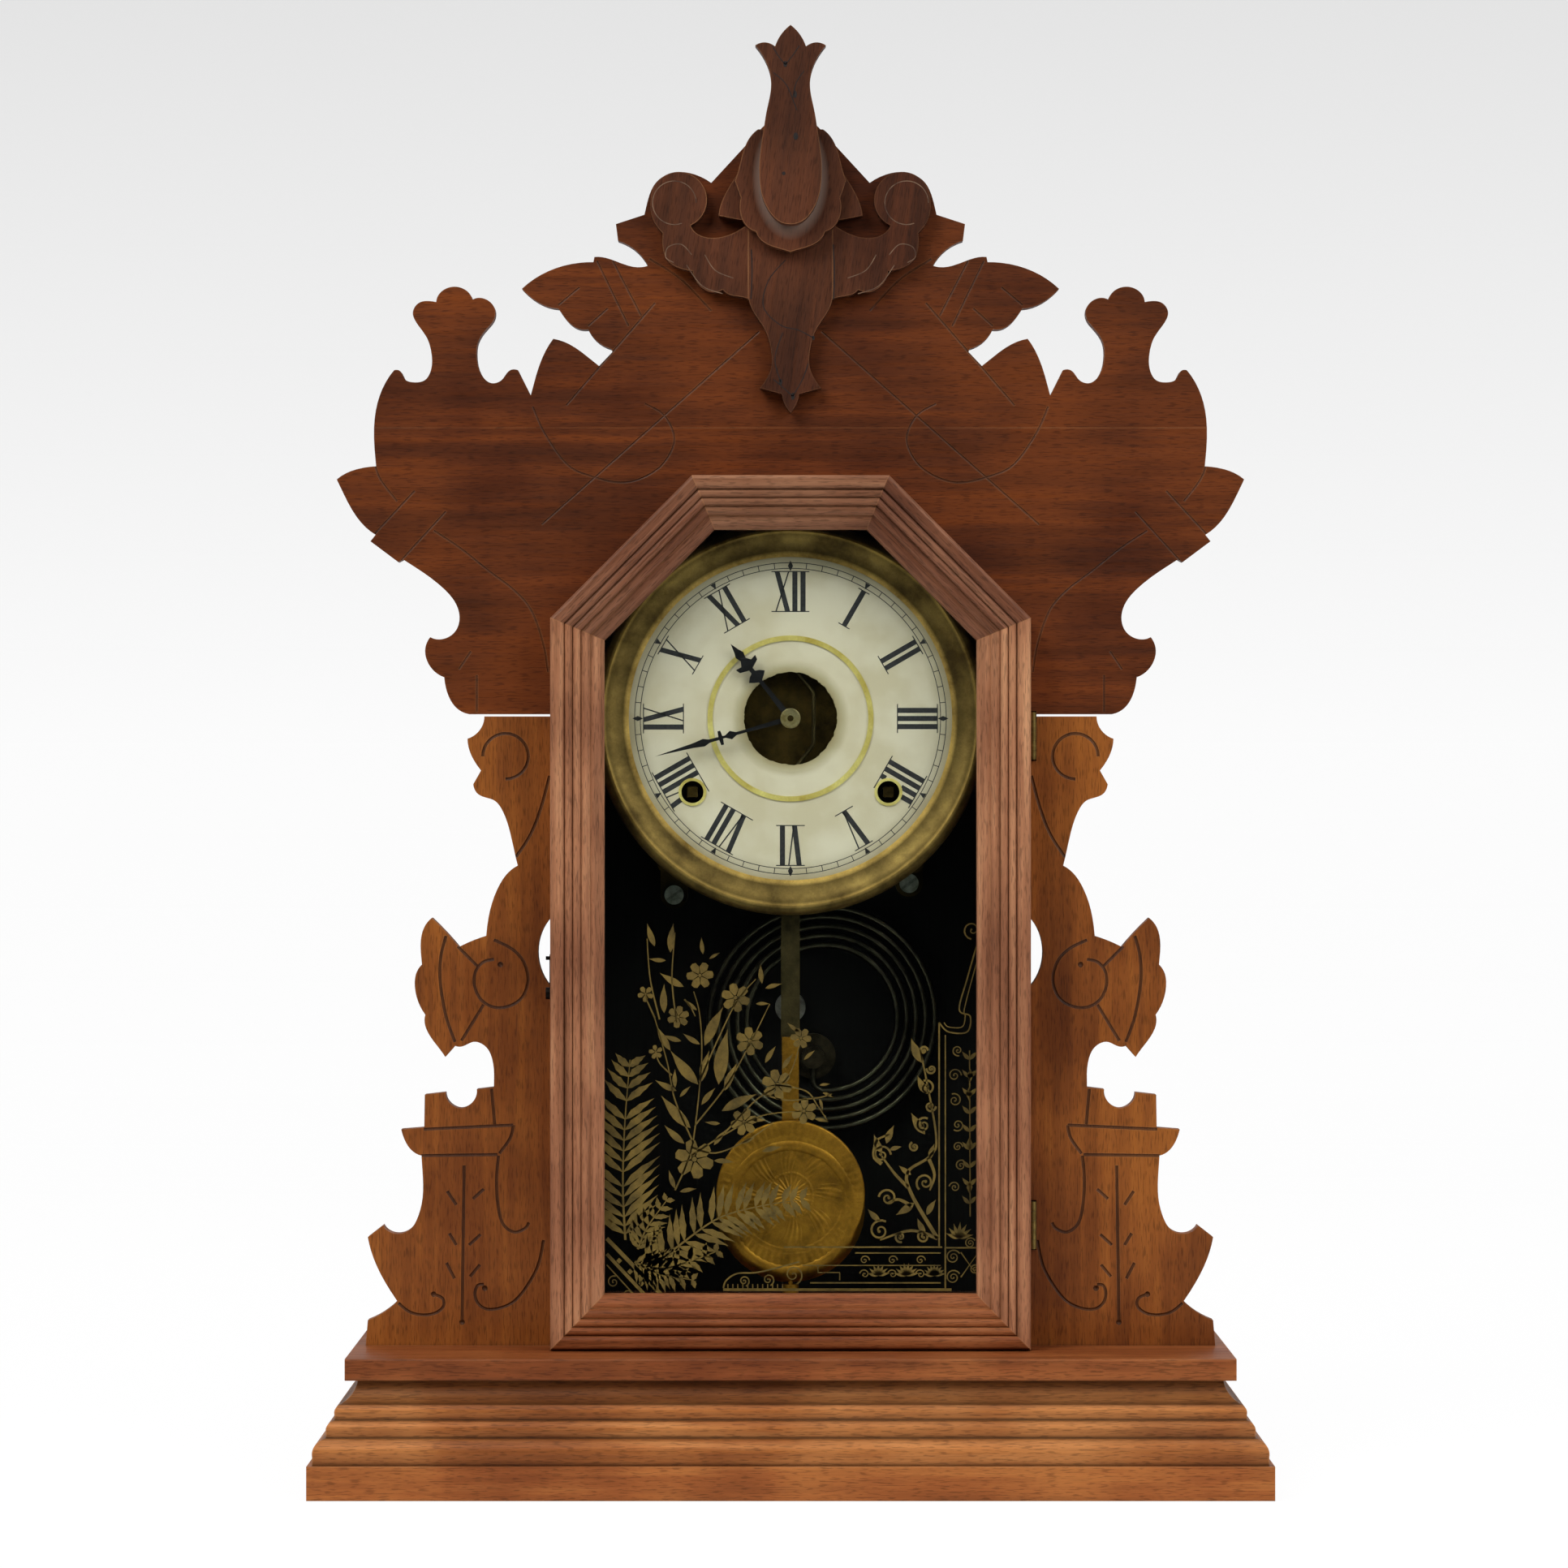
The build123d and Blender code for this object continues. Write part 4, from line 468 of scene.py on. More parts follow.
finishes = {
    baseWalnut: ["plinth_boards"],
    courseWalnut: ["base_mouldings"],
    deckWalnut: ["base_deck"],
    doorFoot: ["door_bottom_rail"],
    crestWalnut: ["crest_upper_board", "crest_lower_board"],
    panelWalnut: ["side_panel_right", "side_panel_left"],
    overlayWalnut: ["volute_wings", "crest_drop", "flare_shield", "tulip_finial"],
    collarWalnut: ["scalloped_collar"],
    doorLevel: ["door_top_rail"],
    doorUpright: ["door_stile_right", "door_stile_left"],
    doorRising: ["door_corner_left"],
    doorFalling: ["door_corner_right"],
    pine: ["glass_beads"],
    pineLevel: ["base_back_rail"],
    sideBlack: ["case_sides_and_top"],
    backBlack: ["backboard"],
    pane: ["door_glass"],
    hingeBrass: ["hinge_case_leaves_and_pins", "hinge_door_leaves"],
    darkIron: ["latch_screw", "catch_pin", "latch_hook"],
    bezelBrass: ["dial_bezel"],
    trimBrass: ["dial_trim_rings"],
    nutBrass: ["hand_nut"],
    tinPlate: ["dial_plate"],
    dialPaper: ["dial_paper"],
    handSteel: ["hour_hand", "minute_hand"],
    plateBrass: ["movement_front_plate", "movement_back_plate", "pillars_and_dial_posts",
                 "movement_feet", "time_great_wheel", "strike_great_wheel", "time_second_wheel",
                 "centre_wheel", "third_wheel", "escape_wheel", "strike_second_wheel",
                 "strike_third_wheel", "fly", "hour_wheel", "minute_wheel", "suspension_post"],
    screwSteel: ["foot_screws"],
    steel: ["mainsprings", "verge_and_crutch", "strike_hammer"],
    stripSteel: ["pendulum_rod"],
    bobBrass: ["pendulum_bob", "rating_nut"],
    gongSteel: ["gong_coil"],
    postIron: ["gong_post"],
}
for material, names in finishes.items():
    for name in names:
        slots = nodes[name].data.materials
        slots.clear()
        slots.append(material)
print("materials are on every node")


def flatPiece(name, outlines, front, thickness, material, body):
    mesh = bpy.data.meshes.new(name)
    build = bmesh.new()
    for outline in outlines:
        corners = [build.verts.new((x * mm, front + thickness, z * mm)) for x, z in outline]
        face = build.faces.new(corners)
        face.normal_update()
        if face.normal.y > 0:
            face.normal_flip()
    bmesh.ops.triangulate(build, faces=build.faces[:])
    build.to_mesh(mesh)
    build.free()
    piece = addObject(name, mesh)
    solidify = piece.modifiers.new("thickness", "SOLIDIFY")
    solidify.thickness = thickness
    solidify.offset = 1
    applyModifiers(piece)
    piece.data.materials.append(material)
    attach(piece, body)


def turned(points, angle, x=0.0, z=0.0, size=1.0):
    c, s = math.cos(angle), math.sin(angle)
    return [(x + size * (px * c - pz * s), z + size * (px * s + pz * c)) for px, pz in points]


def ribbon(points, widths):
    left, right = [], []
    count = len(points)
    for i, (x, z) in enumerate(points):
        ax, az = points[max(i - 1, 0)]
        bx, bz = points[min(i + 1, count - 1)]
        length = math.hypot(bx - ax, bz - az) or 1.0
        nx, nz = -(bz - az) / length, (bx - ax) / length
        width = widths if isinstance(widths, (int, float)) else widths(i / (count - 1))
        left.append((x + nx * width / 2, z + nz * width / 2))
        right.append((x - nx * width / 2, z - nz * width / 2))
    pieces = []
    for i in range(count - 1):
        pieces.append([left[i], left[i + 1], right[i + 1], right[i]])
    return pieces


def curveThrough(points, steps=10):
    smooth = []
    ends = [points[0]] + list(points) + [points[-1]]
    for i in range(1, len(ends) - 2):
        p0, p1, p2, p3 = ends[i - 1], ends[i], ends[i + 1], ends[i + 2]
        for step in range(steps):
            t = step / steps
            smooth.append(tuple(0.5 * (2 * p1[k] + (p2[k] - p0[k]) * t
                                       + (2 * p0[k] - 5 * p1[k] + 4 * p2[k] - p3[k]) * t * t
                                       + (3 * p1[k] - p0[k] - 3 * p2[k] + p3[k]) * t ** 3)
                                for k in (0, 1)))
    return smooth + [tuple(points[-1])]


def circle(x, z, radius, count=8, tall=1.0):
    return [(x + radius * math.cos(k), z + radius * tall * math.sin(k))
            for k in [2 * math.pi * i / count for i in range(count)]]


# dial print: minute track, hour marks and numerals, a hair above the paper
dialSizes = {"trackInner": 58.1, "trackOuter": 60.3, "line": 0.3, "numeralLow": 41.7,
             "numeralHigh": 56.8, "thick": 2.0, "thin": 0.55, "serif": 0.4, "proud": 0.02,
             "thickInset": 1.3, "thinInset": 0.9, "footShift": 0.3, "serifReach": 0.9}
letterWidths = {"I": 3.15, "V": 6.2, "X": 6.6}
hourMarks = {"diamond": 2.1, "diamondHalf": 1.0, "arrowTip": 1.5, "arrowBase": 1.0, "arrowHalf": 1.1}


def onDial(points, hourAngle):
    angle = -math.radians(hourAngle)
    return [(x, z + dialZ / mm) for x, z in turned(points, angle)]


def bar(x0, z0, x1, z1, width):
    return [(x0 - width / 2, z0), (x1 - width / 2, z1), (x1 + width / 2, z1), (x0 + width / 2, z0)]


def numeral(text):
    low, high = dialSizes["numeralLow"], dialSizes["numeralHigh"]
    thick, thin = dialSizes["thick"], dialSizes["thin"]
    thickInset, thinInset = dialSizes["thickInset"], dialSizes["thinInset"]
    shapes = []
    total = sum(letterWidths[letter] for letter in text)
    x = -total / 2
    for letter in text:
        width = letterWidths[letter]
        middle = x + width / 2
        if letter == "I":
            shapes.append(bar(middle, low, middle, high, thick))
        if letter == "V":
            shapes.append(bar(middle, low, x + thickInset, high, thick))
            shapes.append(bar(middle + dialSizes["footShift"], low, x + width - thinInset, high, thin))
        if letter == "X":
            shapes.append(bar(x + width - thickInset, low, x + thickInset, high, thick))
            shapes.append(bar(x + thinInset, low, x + width - thinInset, high, thin))
        x += width
    serif = dialSizes["serif"]
    reach = total / 2 + dialSizes["serifReach"]
    for level in (low - serif, high):
        shapes.append([(-reach, level), (reach, level), (reach, level + serif), (-reach, level + serif)])
    return shapes


def sliced(quad, count=24):
    (ax, az), (bx, bz), (cx, cz), (dx, dz) = quad
    strips = []
    for number in range(count):
        s, t = number / count, (number + 1) / count
        strips.append([(ax + (bx - ax) * s, az + (bz - az) * s), (ax + (bx - ax) * t, az + (bz - az) * t),
                       (dx + (cx - dx) * t, dz + (cz - dz) * t), (dx + (cx - dx) * s, dz + (cz - dz) * s)])
    return strips


# the winding grommets cover the print round them
windingPlaces = {"across": 38.0, "down": 28.5, "clear": 5.5}


def clearOfWinding(shape):
    x = sum(point[0] for point in shape) / len(shape)
    z = sum(point[1] for point in shape) / len(shape) - dialZ / mm
    return math.hypot(abs(x) - windingPlaces["across"], z + windingPlaces["down"]) > windingPlaces["clear"]


printShapes = []
line = dialSizes["line"]
trackInner, trackOuter = dialSizes["trackInner"], dialSizes["trackOuter"]
for ring in (trackInner, trackOuter):
    for step in range(120):
        printShapes.append(onDial([(0, ring), (0, ring + line)], 3 * step)
                           + onDial([(0, ring + line), (0, ring)], 3 * step + 3))
for minute in range(60):
    printShapes.append(onDial(bar(0, trackInner, 0, trackOuter, line), 6 * minute))
middleTrack = (trackInner + trackOuter) / 2
for hour, text in enumerate(["XII", "I", "II", "III", "IIII", "V", "VI", "VII", "VIII", "IX", "X", "XI"]):
    for shape in numeral(text):
        strips = [onDial(strip, 30 * hour) for strip in sliced(shape)]
        if all(clearOfWinding(strip) for strip in strips):
            printShapes.append(onDial(shape, 30 * hour))
        else:
            printShapes.extend(strip for strip in strips if clearOfWinding(strip))
    if hour % 3 == 0:
        half = hourMarks["diamondHalf"]
        mark = [(0, middleTrack - hourMarks["diamond"]), (half, middleTrack),
                (0, middleTrack + hourMarks["diamond"]), (-half, middleTrack)]
    else:
        half, base = hourMarks["arrowHalf"], middleTrack + hourMarks["arrowBase"]
        mark = [(0, middleTrack - hourMarks["arrowTip"]), (half, base), (-half, base)]
    printShapes.append(onDial(mark, 30 * hour))
flatPiece("dialPrint", printShapes, paperFront - dialSizes["proud"] * mm, dialSizes["proud"] * mm, ink,
          "case")
print("dial print is drawn")

# torn edge of the paper round the open centre
tornEdge = {"outer": 21.0, "inner": 17.9, "ragged": 0.5, "wave": 0.3, "bites": 0.5, "chance": 0.4,
            "steps": 144, "thickness": 0.12}


def aroundDial(reach, angle):
    return reach * math.cos(angle), reach * math.sin(angle) + dialZ / mm


tornShapes = []
rim = []
for step in range(tornEdge["steps"]):
    angle = 2 * math.pi * step / tornEdge["steps"]
    bite = tornEdge["ragged"] * (tornEdge["wave"] * math.sin(5 * angle + 1)
                                 + tornEdge["bites"] * abs(math.sin(11 * angle))
                                 + random.uniform(-tornEdge["chance"], tornEdge["chance"]))
    rim.append((angle, tornEdge["inner"] + bite))
for (a, reachA), (b, reachB) in zip(rim, rim[1:] + rim[:1]):
    tornShapes.append([aroundDial(reachA, a), aroundDial(tornEdge["outer"], a),
                       aroundDial(tornEdge["outer"], b), aroundDial(reachB, b)])
flatPiece("tornPaperEdge", tornShapes, paperFront - tornEdge["thickness"] * mm,
          tornEdge["thickness"] * mm, dialPaper, "case")

# gilding on the back of the pane
giltSizes = {"thickness": 0.03, "behindPane": 0.01, "square": 0.8}
leafForm = {"steps": 7, "full": 1.04, "shoulder": 0.8, "point": 1.15, "notch": 0.78, "bow": 0.10,
            "apart": 0.02}
fernForm = {"stem": 0.9, "taper": 0.6, "first": 0.06, "span": 0.9, "swellFrom": 0.30, "swellSpan": 0.66,
            "tip": 0.25}
flowerForm = {"eye": 0.13, "small": 30, "turn": 0.37}
petalForm = ((0.16, -0.05), (0.55, -0.30), (0.92, -0.24), (1.0, 0.0), (0.92, 0.24), (0.55, 0.30),
             (0.16, 0.05))
scrollForm = {"steps": 16, "closing": 0.88, "taper": 0.35, "eye": 0.7}
giltShapes = []


def leaf(x, z, angle, length, width, serrated=False):
    outline = []
    steps = leafForm["steps"]
    for side in (1, -1):
        for step in range(steps):
            t = step / steps if side > 0 else 1 - step / steps
            swell = math.sin(math.pi * min(t * leafForm["full"], 1.0) ** leafForm["shoulder"])
            spread = swell ** leafForm["point"] * width / 2
            notch = leafForm["notch"] if serrated and step % 2 else 1.0
            bow = leafForm["bow"] * width * math.sin(math.pi * t)
            outline.append((t * length, side * spread * notch + bow))
    cleaned = []
    for point in outline:
        if not cleaned or math.dist(point, cleaned[-1]) > leafForm["apart"]:
            cleaned.append(point)
    return turned(cleaned, angle, x, z)


def fern(points, leafLength, leafWidth, count, lean):
    stem = curveThrough(points, 12)
    giltShapes.extend(ribbon(stem, lambda t: fernForm["stem"] - fernForm["taper"] * t))
    for number in range(count):
        t = fernForm["first"] + fernForm["span"] * number / (count - 1)
        i = min(int(t * (len(stem) - 1)), len(stem) - 2)
        (x, z), (x2, z2) = stem[i], stem[i + 1]
        along = math.atan2(z2 - z, x2 - x)
        swell = math.sin(math.pi * (fernForm["swellFrom"] + fernForm["swellSpan"] * t))
        size = leafLength * (swell * (1 - fernForm["tip"]) + fernForm["tip"])
        for side in (1, -1):
            giltShapes.append(leaf(x, z, along + side * math.radians(lean), size, leafWidth, True))


def flower(x, z, size, petals=6, start=0.0):
    for petal in range(petals):
        giltShapes.append(turned(petalForm, start + 2 * math.pi * petal / petals, x, z, size))
    giltShapes.append(circle(x, z, flowerForm["eye"] * size))


def scroll(x, z, size, turns=1.5, start=0.0, hand=1, width=0.5):
    steps = int(scrollForm["steps"] * turns)
    points = []
    for step in range(steps + 1):
        share = step / steps
        angle = start + hand * 2 * math.pi * turns * share
        reach = size * (1 - scrollForm["closing"] * share)
        points.append((x + reach * math.cos(angle), z + reach * math.sin(angle)))
    giltShapes.extend(ribbon(points, lambda t: width * (1 - scrollForm["taper"] * t)))
    giltShapes.append(circle(*points[-1], scrollForm["eye"] * width))


# the drawing is laid out on a fine grid that starts at the pane's upper left
grid = {"left": -73.2, "top": 232.65, "step": 0.1197}


def onGrid(across, down):
    return grid["left"] + grid["step"] * across, grid["top"] - grid["step"] * down


def drawn(*places):
    return [onGrid(*place) for place in places]


def leafBetween(tip, base, share=0.25):
    (x1, z1), (x0, z0) = onGrid(*tip), onGrid(*base)
    length = math.hypot(x1 - x0, z1 - z0)
    giltShapes.append(leaf(x0, z0, math.atan2(z1 - z0, x1 - x0), length, share * length))


def stroke(places, width, smooth=0):
    points = drawn(*places)
    giltShapes.extend(ribbon(curveThrough(points, smooth) if smooth else points, width))


# ferns: one upright at the left edge, one leaning over the bob, three short ones at their foot
fern(drawn((80, 1170), (72, 1000), (78, 800), (95, 590)), 19.0, 3.1, 16, 50)
fern(drawn((150, 1270), (250, 1190), (380, 1100), (520, 1060), (660, 1040)), 14.5, 2.9, 19, 56)
fern(drawn((110, 1240), (180, 1275), (300, 1300)), 9.0, 2.3, 8, 58)
fern(drawn((130, 1250), (215, 1260), (380, 1205)), 9.5, 2.4, 9, 60)
fern(drawn((120, 1200), (150, 1130), (215, 1040)), 8.5, 2.2, 8, 50)
# stems of the spray
sprayStems = (
    ((240, 1010), (275, 930), (300, 840), (325, 600), (320, 450), (300, 370)),
    ((300, 860), (240, 720), (215, 600), (170, 440)), ((318, 660), (380, 520), (440, 400), (500, 330)),
    ((305, 800), (400, 680), (470, 560), (545, 410)), ((290, 900), (400, 830), (520, 770), (650, 755)),
    ((400, 825), (500, 720), (600, 650), (645, 530)), ((520, 700), (600, 720), (700, 712), (745, 700)),
    ((560, 670), (660, 690), (700, 740), (730, 785)), ((230, 640), (190, 600), (178, 565)),
    ((175, 455), (150, 400), (145, 378)), ((270, 395), (290, 420), (305, 450)),
    ((190, 460), (160, 330), (150, 200)), ((245, 470), (230, 330), (240, 180)),
    ((290, 870), (370, 890), (470, 850), (560, 790))
)
for stem in sprayStems:
    stroke(stem, lambda t: 0.65 - 0.3 * t, 8)
sprayFlowers = (
    (302, 910, 64), (320, 318, 44), (435, 390, 47), (250, 452, 36), (480, 530, 46), (462, 790, 44),
    (568, 670, 50), (645, 520, 34), (655, 755, 42), (145, 378, 26), (178, 565, 23)
)
for flowerX, flowerY, reach in sprayFlowers:
    x, z = onGrid(flowerX, flowerY)
    petals = 6 if reach > flowerForm["small"] else 5
    flower(x, z, reach * grid["step"], petals, flowerX * flowerForm["turn"])
sprayLeaves = (
    ((150, 150), (175, 225)), ((235, 150), (225, 245)), ((325, 195), (330, 250)), ((385, 245), (350, 265)),
    ((155, 265), (210, 270)), ((190, 310), (268, 355)), ((205, 345), (205, 440)), ((515, 280), (520, 345)),
    ((585, 345), (530, 360)), ((545, 410), (500, 410)), ((395, 420), (335, 545)), ((270, 395), (310, 430)),
    ((200, 510), (260, 530)), ((265, 505), (320, 540)), ((410, 490), (380, 670)), ((225, 560), (315, 670)),
    ((565, 545), (530, 600)), ((175, 655), (245, 690)), ((240, 620), (240, 680)), ((290, 675), (255, 710)),
    ((195, 705), (290, 810)), ((370, 680), (325, 735)), ((505, 700), (390, 755)), ((335, 790), (385, 795)),
    ((405, 815), (365, 865)), ((205, 800), (270, 860)), ((535, 785), (490, 785)), ((740, 668), (705, 672)),
    ((750, 712), (715, 695)), ((715, 755), (705, 715)), ((735, 790), (690, 780)), ((430, 920), (365, 915)),
    ((500, 840), (455, 860)), ((585, 870), (520, 885)), ((220, 945), (240, 1005)),
    ((310, 1005), (255, 1015)), ((180, 480), (225, 560)), ((350, 560), (325, 660)),
    ((440, 600), (400, 690)), ((620, 570), (585, 620)), ((690, 560), (655, 590)), ((600, 470), (640, 500))
)
for tip, base in sprayLeaves:
    leafBetween(tip, base)
# bands with small squares across the lower left corner
cornerBands = (
    ((20, 1165), (215, 1365), 1.5), ((20, 1215), (160, 1365), 1.3), ((20, 1250), (130, 1370), 0.5)
)
for start, end, width in cornerBands:
    stroke((start, end), width)
square = giltSizes["square"]
for place in ((60, 1237), (95, 1272), (132, 1310), (168, 1348)):
    giltShapes.append(turned([(-square, -square), (square, -square), (square, square), (-square, square)],
                             math.pi / 4, *onGrid(*place)))
scroll(*onGrid(42, 1305), 2.4, 1.4, 1.2, 1, 0.5)
scroll(*onGrid(90, 1345), 2.0, 1.2, 4.0, -1, 0.45)
# straight border in the lower right: uprights, levels and a stepped key
borderLines = (
    ((1090, 470), (1090, 1190), 0.6), ((1110, 510), (1110, 1195), 0.45), ((590, 1193), (1100, 1193), 0.6),
    ((820, 1212), (1095, 1212), 0.45), ((675, 1308), (1095, 1308), 0.5), ((395, 1330), (1130, 1330), 1.0),
    ((650, 1252), (1095, 1252), 0.4), ((700, 1275), (770, 1275), 0.4), ((1110, 1195), (1110, 1330), 0.6),
    ((1225, 1195), (1225, 1330), 0.5), ((1110, 1195), (1225, 1195), 0.6), ((700, 1252), (700, 1275), 0.4),
    ((770, 1275), (770, 1300), 0.4), ((1160, 1210), (1222, 1290), 0.5), ((1222, 1210), (1160, 1290), 0.5)
)
for start, end, width in borderLines:
    stroke((start, end), width)
# scrolled foot under the bob
stroke(((395, 1325), (405, 1300), (440, 1278), (500, 1275), (560, 1262), (640, 1240)), 0.6, 6)
for placeX, placeY, reach in ((462, 1302, 18), (540, 1298, 20), (620, 1282, 32)):
    scroll(*onGrid(placeX, placeY), reach * grid["step"], 1.5, -1.2, 1, 0.55)
footTicks = {"count": 12, "first": 410, "apart": 16, "low": 1327, "high": 1312}
for number in range(footTicks["count"]):
    across = footTicks["first"] + footTicks["apart"] * number
    stroke(((across, footTicks["low"]), (across, footTicks["high"])), 0.4)
# palmette, acanthus and half rosette in the level band
for middle, reach, rays in ((895, 38, 7), (985, 42, 8), (1075, 38, 9)):
    for ray in range(rays):
        angle = math.pi * (ray + 0.5) / rays
        giltShapes.append(leaf(*onGrid(middle, 1285), angle, reach * grid["step"], 1.3))
for middle in (850, 940, 1030):
    scroll(*onGrid(middle, 1235), 1.9, 1.3, 0.0, 1, 0.45)
    scroll(*onGrid(middle, 1280), 1.9, 1.3, 3.0, -1, 0.45)
for placeX, placeY, reach in ((1135, 1225, 24), (1135, 1290, 24), (1190, 1180, 18), (1205, 1265, 16)):
    scroll(*onGrid(placeX, placeY), reach * grid["step"], 1.8, 0.5, 1, 0.5)
# narrow panel at the right edge
stroke(((1188, 560), (1190, 1095)), 0.45)
diamond = {"tall": 2.6, "wide": 1.2}
for place in ((1190, 640), (1186, 700), (1188, 860), (1188, 1000)):
    x, z = onGrid(*place)
    giltShapes.append([(x, z + diamond["tall"]), (x + diamond["wide"], z),
                       (x, z - diamond["tall"]), (x - diamond["wide"], z)])
edgeScrolls = (
    (1140, 640, 22, 0, 1), (1140, 720, 22, 2, -1), (1160, 930, 18, 1, 1), (1140, 1000, 18, 3, -1),
    (1225, 600, 16, 2, 1), (1222, 780, 16, 0, -1), (1150, 800, 20, 4, 1), (1225, 900, 16, 1, 1),
    (1150, 560, 18, 5, -1), (1222, 1040, 16, 2, -1), (1150, 870, 16, 0, 1)
)
for placeX, placeY, reach, start, hand in edgeScrolls:
    scroll(*onGrid(placeX, placeY), reach * grid["step"], 1.5, start, hand, 0.5)
edgeLeaves = {"count": 9, "across": 1189, "first": 590, "apart": 58, "lean": 0.75, "length": 4.4,
              "width": 1.5}
for number in range(edgeLeaves["count"]):
    x, z = onGrid(edgeLeaves["across"], edgeLeaves["first"] + edgeLeaves["apart"] * number)
    for lean in (-edgeLeaves["lean"], edgeLeaves["lean"]):
        giltShapes.append(leaf(x, z, math.pi / 2 + lean, edgeLeaves["length"], edgeLeaves["width"]))
fan = {"rays": 7, "first": 0.25, "apart": 0.42, "length": 6.5, "shorter": 0.3, "width": 1.5}
for ray in range(fan["rays"]):
    length = fan["length"] - fan["shorter"] * abs(ray - 3)
    giltShapes.append(leaf(*onGrid(1155, 1165), fan["first"] + fan["apart"] * ray, length, fan["width"]))
# scrolls that climb along the border
climbingStems = (
    ((1085, 1165), (1000, 1020), (990, 950), (1060, 900), (1080, 830), (1030, 560)),
    ((1085, 1165), (1000, 1140), (900, 1170)), ((990, 1000), (950, 960), (905, 900)),
    ((1000, 1060), (960, 1040), (925, 1050)), ((905, 925), (880, 900), (890, 850), (930, 830)),
    ((1055, 905), (1075, 960), (1060, 1010))
)
for stem in climbingStems:
    stroke(stem, lambda t: 1.5 - 0.9 * t, 8)
climbingScrolls = (
    (1040, 560, 14, 0, 1), (1050, 680, 25, 2, -1), (1040, 800, 25, 1, 1), (1045, 985, 30, 4, -1),
    (905, 895, 30, 0, 1), (925, 1035, 30, 3, -1), (900, 1140, 35, 1, 1), (965, 1160, 18, 5, -1),
    (1040, 1160, 20, 2, 1), (1065, 620, 16, 3, 1), (1062, 740, 18, 0, -1), (1010, 870, 16, 2, 1)
)
for placeX, placeY, reach, start, hand in climbingScrolls:
    scroll(*onGrid(placeX, placeY), reach * grid["step"], 1.45, start, hand, 0.85)
climbingLeaves = (
    ((880, 830), (905, 890)), ((945, 800), (920, 860)), ((1000, 520), (1035, 600)),
    ((1020, 640), (1050, 700)), ((1000, 760), (1045, 830)), ((960, 930), (1000, 960)),
    ((950, 1090), (1010, 1050)), ((1080, 1040), (1050, 1090)), ((860, 1070), (900, 1110)),
    ((1020, 1100), (1045, 1150)), ((970, 870), (930, 880)), ((1075, 860), (1060, 910))
)
for tip, base in climbingLeaves:
    leafBetween(tip, base, 0.34)
# double line that swells and climbs to the scroll at the upper right
for offset, width in ((0, 0.55), (16, 0.4)):
    stroke(((1090 + offset, 470), (1120, 500 - offset), (1180 - offset, 500 - offset),
            (1190 - offset, 450), (1155 + offset, 428), (1180 + offset, 330), (1210 + offset, 225)),
           width, 10)
scroll(*onGrid(1197, 172), 3.6, 1.3, 4.6, -1, 0.6)
# keep what lies on the visible part of the pane
paneView = {"half": 72.4, "bottom": 70.8, "hiddenShare": 0.6}
paneHalf = paneView["half"]
kept = [[(max(-paneHalf, min(paneHalf, x)), z) for x, z in shape] for shape in giltShapes
        if sum(abs(x) > paneHalf or z < paneView["bottom"] for x, z in shape)
        < paneView["hiddenShare"] * len(shape)]
flatPiece("paneGilding", kept, glassBack + giltSizes["behindPane"] * mm, giltSizes["thickness"] * mm, gilt,
          "door")
print("gilding is laid:", len(kept), "strokes")

# cuts, nicks, seams and rim lines on the crest overlays, as thin flat ribbons: painted shade in cuts and
# nicks, dark joints at the seams, painted highlight on the rim lines
# painted shade in the carved cuts and nicks; the seams are dark joints
shadowCut = mottled("painted shade in carved cuts and dark seams", {"Roughness": 0.7}, 3 * mm, 2.0,
                    [(0.35, "#120a06"), (0.7, "#2a170d")])
# painted highlight: pale lines where the volute rims and feather cuts catch the light
litCutEdge = mottled("painted highlight on the edge of a cut", {"Roughness": 0.6}, 5 * mm, 2.0,
                    [(0.35, "#4a2d1c"), (0.65, "#8a6a50")])
markSizes = {"thickness": 0.06, "fine": 0.35, "seam": 0.45, "nick": 0.8}


def nick(x, z, size=1.0, tall=1.5):
    return circle(x, z, size * markSizes["nick"], 10, tall)


def fineCuts(lines, width=markSizes["fine"], steps=6):
    return [piece for points in lines for piece in ribbon(curveThrough(points, steps), width)]


def cutMarks(name, shapes, nodeName, material):
    thickness = markSizes["thickness"] * mm
    flatPiece(name, shapes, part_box(nodeName)[0].y - thickness, thickness, material, "case")


tulipMarks = [nick(-2.0, 543.6), nick(1.8, 532.0, 0.8, 2.2), nick(2.0, 516.0, 1.2),
              nick(-2.6, 501.8, 0.9, 1.0)]
tulipMarks += fineCuts((((-7.0, 550.6), (-4.6, 546.6), (-2.0, 543.4)),
                        ((3.4, 550.6), (0.6, 546.6), (-2.0, 543.4)),
                        ((-6.6, 540.4), (-1.5, 535.5), (2.4, 526.0)),
                        ((5.2, 541.0), (2.2, 536.5), (1.0, 531.0))))
cutMarks("tulipMarks", tulipMarks, "tulip_finial", shadowCut)
dropMarks = [nick(8.8, 440.0, 0.7, 1.6), nick(-3.8, 423.0, 0.8, 1.8), nick(0.9, 417.5, 0.9, 2.0),
             nick(-1.0, 478.0, 0.6, 1.2)]
dropMarks += fineCuts((((-1.9, 470), (-8.5, 462), (-10.4, 452), (-4.0, 445), (3.0, 443), (8.8, 440)),
                       ((-3.0, 442), (-6.0, 432), (-3.8, 423)), ((0.9, 417.5), (4.6, 424), (6.8, 430)),
                       ((0.9, 417.5), (-3.0, 421), (-6.5, 424))))
cutMarks("dropMarks", dropMarks, "crest_drop", shadowCut)
wingSeams = fineCuts((((16.6, 455), (16.9, 466), (16.4, 476)), ((-15.2, 455), (-14.8, 466), (-15.1, 474))),
                     markSizes["seam"], 5)
